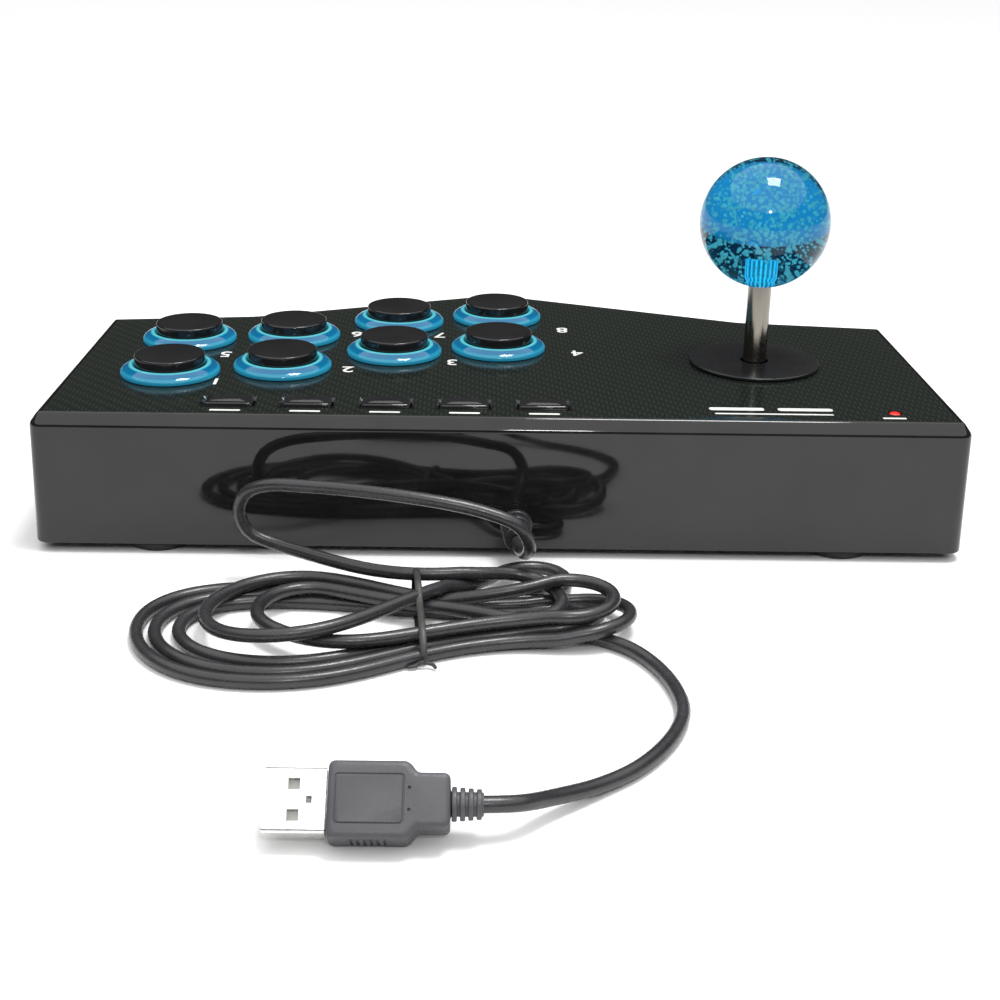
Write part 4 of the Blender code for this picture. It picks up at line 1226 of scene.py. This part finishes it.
def make_plug_body():
    """The moulded grip with its raised panel, side ribs, narrower neck and ribbed tail."""
    grip_end = PLUG_FACE_X - PLUG_GRIP_LENGTH
    neck_start = grip_end - PLUG_TAPER
    neck_end = neck_start - PLUG_NECK_LENGTH
    side = [
        (PLUG_FACE_X, -PLUG_GRIP_HALF),
        (PLUG_FACE_X, PLUG_GRIP_HALF),
        (grip_end, PLUG_GRIP_HALF),
        (neck_start, PLUG_NECK_HALF),
        (neck_end, PLUG_NECK_HALF),
        (neck_end, -PLUG_NECK_HALF),
        (neck_start, -PLUG_NECK_HALF),
        (grip_end, -PLUG_GRIP_HALF),
    ]
    outline = rounded(side, [0.0013, 0.0013, 0.0010, 0.0008, 0.0013, 0.0013, 0.0008, 0.0010], 5, closed=True)
    half = PLUG_THICKNESS / 2
    centre_x = (PLUG_FACE_X + neck_end) / 2
    edge = ((0.0011, 0.0), (0.00045, 0.00015), (0.0001, 0.0005), (0.0, 0.0011))
    rings = []
    for side_sign, steps in ((-1, edge), (1, reversed(edge))):
        for inset, drop in steps:
            ring = []
            for p in outline:
                along = (p.x - centre_x) * (1 - inset / max(abs(p.x - centre_x), 0.004))
                across = p.y * (1 - inset / max(abs(p.y), 0.004))
                ring.append((centre_x + along, across, side_sign * (half - drop)))
            rings.append(ring)
    body = new_piece("plug_grip", lofted("plug_grip", rings), "moulding", sharp=None)
    panel = rounded_box_outline(0.0122, 0.0088, 0.0009)
    panel_x = PLUG_FACE_X - 0.0014 - 0.0061
    face = ((1.0, half - 0.0010), (1.0, half - 0.00005), (0.965, half + 0.00012))
    groove = ((1.045, half - 0.00022), (1.06, half + 0.001))
    carve(body, [lofted("groove", [ring_at(panel, panel_x, 0, z, share) for share, z in groove])])
    carve(body, [lofted("panel", [ring_at(panel, panel_x, 0, z, share) for share, z in face])], "UNION")
    dimples = [(panel_x - 0.0072, 0.0020), (panel_x - 0.0072, -0.0020)]
    cuts = [cylinders(dimples, 0.00032, half - 0.0005, half + 0.001, 16)]
    for sign in (1, -1):
        at = [(panel_x + 0.0030 - 0.0012 * k, sign * (PLUG_GRIP_HALF + 0.0003), 0) for k in range(6)]
        cuts.append(blocks([(place, (0.0005, 0.0012, PLUG_THICKNESS * 0.62)) for place in at]))
    carve(body, cuts)
    body.data.transform(plug_matrix())
    seated(body, "panel_case", ["plug_overmould"], 35)
    length = PLUG_TAIL_LENGTH
    profile = [(0, 0.0008), (0.0026, 0.0008), (0.0026, 0.0)]
    ribs = 4
    pitch = length / ribs
    for rib in range(ribs):
        start = -pitch * (rib + 0.12)
        radius = 0.0031 - 0.00012 * rib
        corners = (
            (0.0022, start),
            (radius, start - 0.00005),
            (radius, start - pitch * 0.62),
            (0.0022, start - pitch * 0.66),
        )
        profile += rounded(corners, [0, 0.0002, 0.0002, 0], 3)
    profile += [
        (0.0021, -length),
        (CORD_RADIUS + 0.0001, -length),
        (CORD_RADIUS - 0.0001, -length + 0.0008),
        (0, -length + 0.0008),
    ]
    turn = plug_matrix() @ Matrix.Translation((neck_end, 0, 0)) @ Matrix.Rotation(math.pi / 2, 4, "Y")
    mesh = lathe("plug_boot", profile, 40, turn=turn)
    return body, new_piece("plug_boot", mesh, "moulding", "panel_case", (), sharp=35)


def make_plug_shell():
    """The folded steel shell: rounded corners, an open mouth, latch holes and the seam, with the tongue inside."""
    length, width, height = PLUG_SHELL
    start = PLUG_FACE_X + GAP
    outer = rounded_box_outline(width, height, 0.0009)
    inner = rounded_box_outline(width - 2 * PLUG_SHELL_WALL, height - 2 * PLUG_SHELL_WALL, 0.0006)
    rings = []
    for outline, x, shrink in (
        (inner, start + 0.0010, 1.0),
        (inner, start + length - 0.0001, 1.0),
        (inner, start + length, 1.01),
        (outer, start + length, 0.985),
        (outer, start + length - 0.0003, 1.0),
        (outer, start, 1.0),
    ):
        rings.append([(x, p.x * shrink, p.y * shrink) for p in outline])
    shell = new_piece("plug_shell_case", lofted("plug_shell_case", rings), "plated", sharp=None)
    latch = (0.0021, 0.0021, 0.0016)
    holes = [((start + 0.0058, y, z), latch) for y in (0.00285, -0.00285) for z in (height / 2, -height / 2)]
    holes.append(((start + 0.0030, 0, height / 2), (0.0010, 0.0013, 0.0016)))
    holes.append(((start + length / 2, 0, -height / 2), (length * 1.2, 0.00012, 0.0010)))
    carve(shell, [blocks(holes)])
    shell.data.transform(plug_matrix())
    seated(shell, "panel_case", ["plug_shell"], 30)
    tongue_rings = []
    outline = rounded_box_outline(width - 0.0018, 0.0018, 0.0002)
    for x, shrink in ((start + 0.0011, 1.0), (start + length - 0.0009, 1.0), (start + length - 0.0006, 0.97)):
        tongue_rings.append([(x, p.x * shrink, -0.0008 + p.y * shrink) for p in outline])
    tongue = lofted("plug_tongue", tongue_rings)
    tongue.transform(plug_matrix())
    return shell, new_piece("plug_tongue", tongue, "nylon", "panel_case", (), sharp=30)


make_relief()
tie = make_tie()
grip, boot = make_plug_body()
shell_case, tongue = make_plug_shell()


# ---------------------------------------------------------------- finishes of the carried-over nodes


def finish_cad_nodes():
    looks = {
        "base_plate": "matte",
        "case_screw": "zinc",
        "button_switch": "matte",
        "control_board": "board",
        "dust_slider": "matte",
        "stick_gimbal": "nylon",
        "stick_housing": "matte",
        "stick_actuator": "nylon",
        "centring_spring": "zinc",
        "stick_switch_board": "board",
        "restrictor_gate": "matte",
    }
    for name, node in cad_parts.items():
        for start, look in looks.items():
            if name.startswith(start):
                for material_slot in node.material_slots:
                    material_slot.material = LOOKS[look]


finish_cad_nodes()
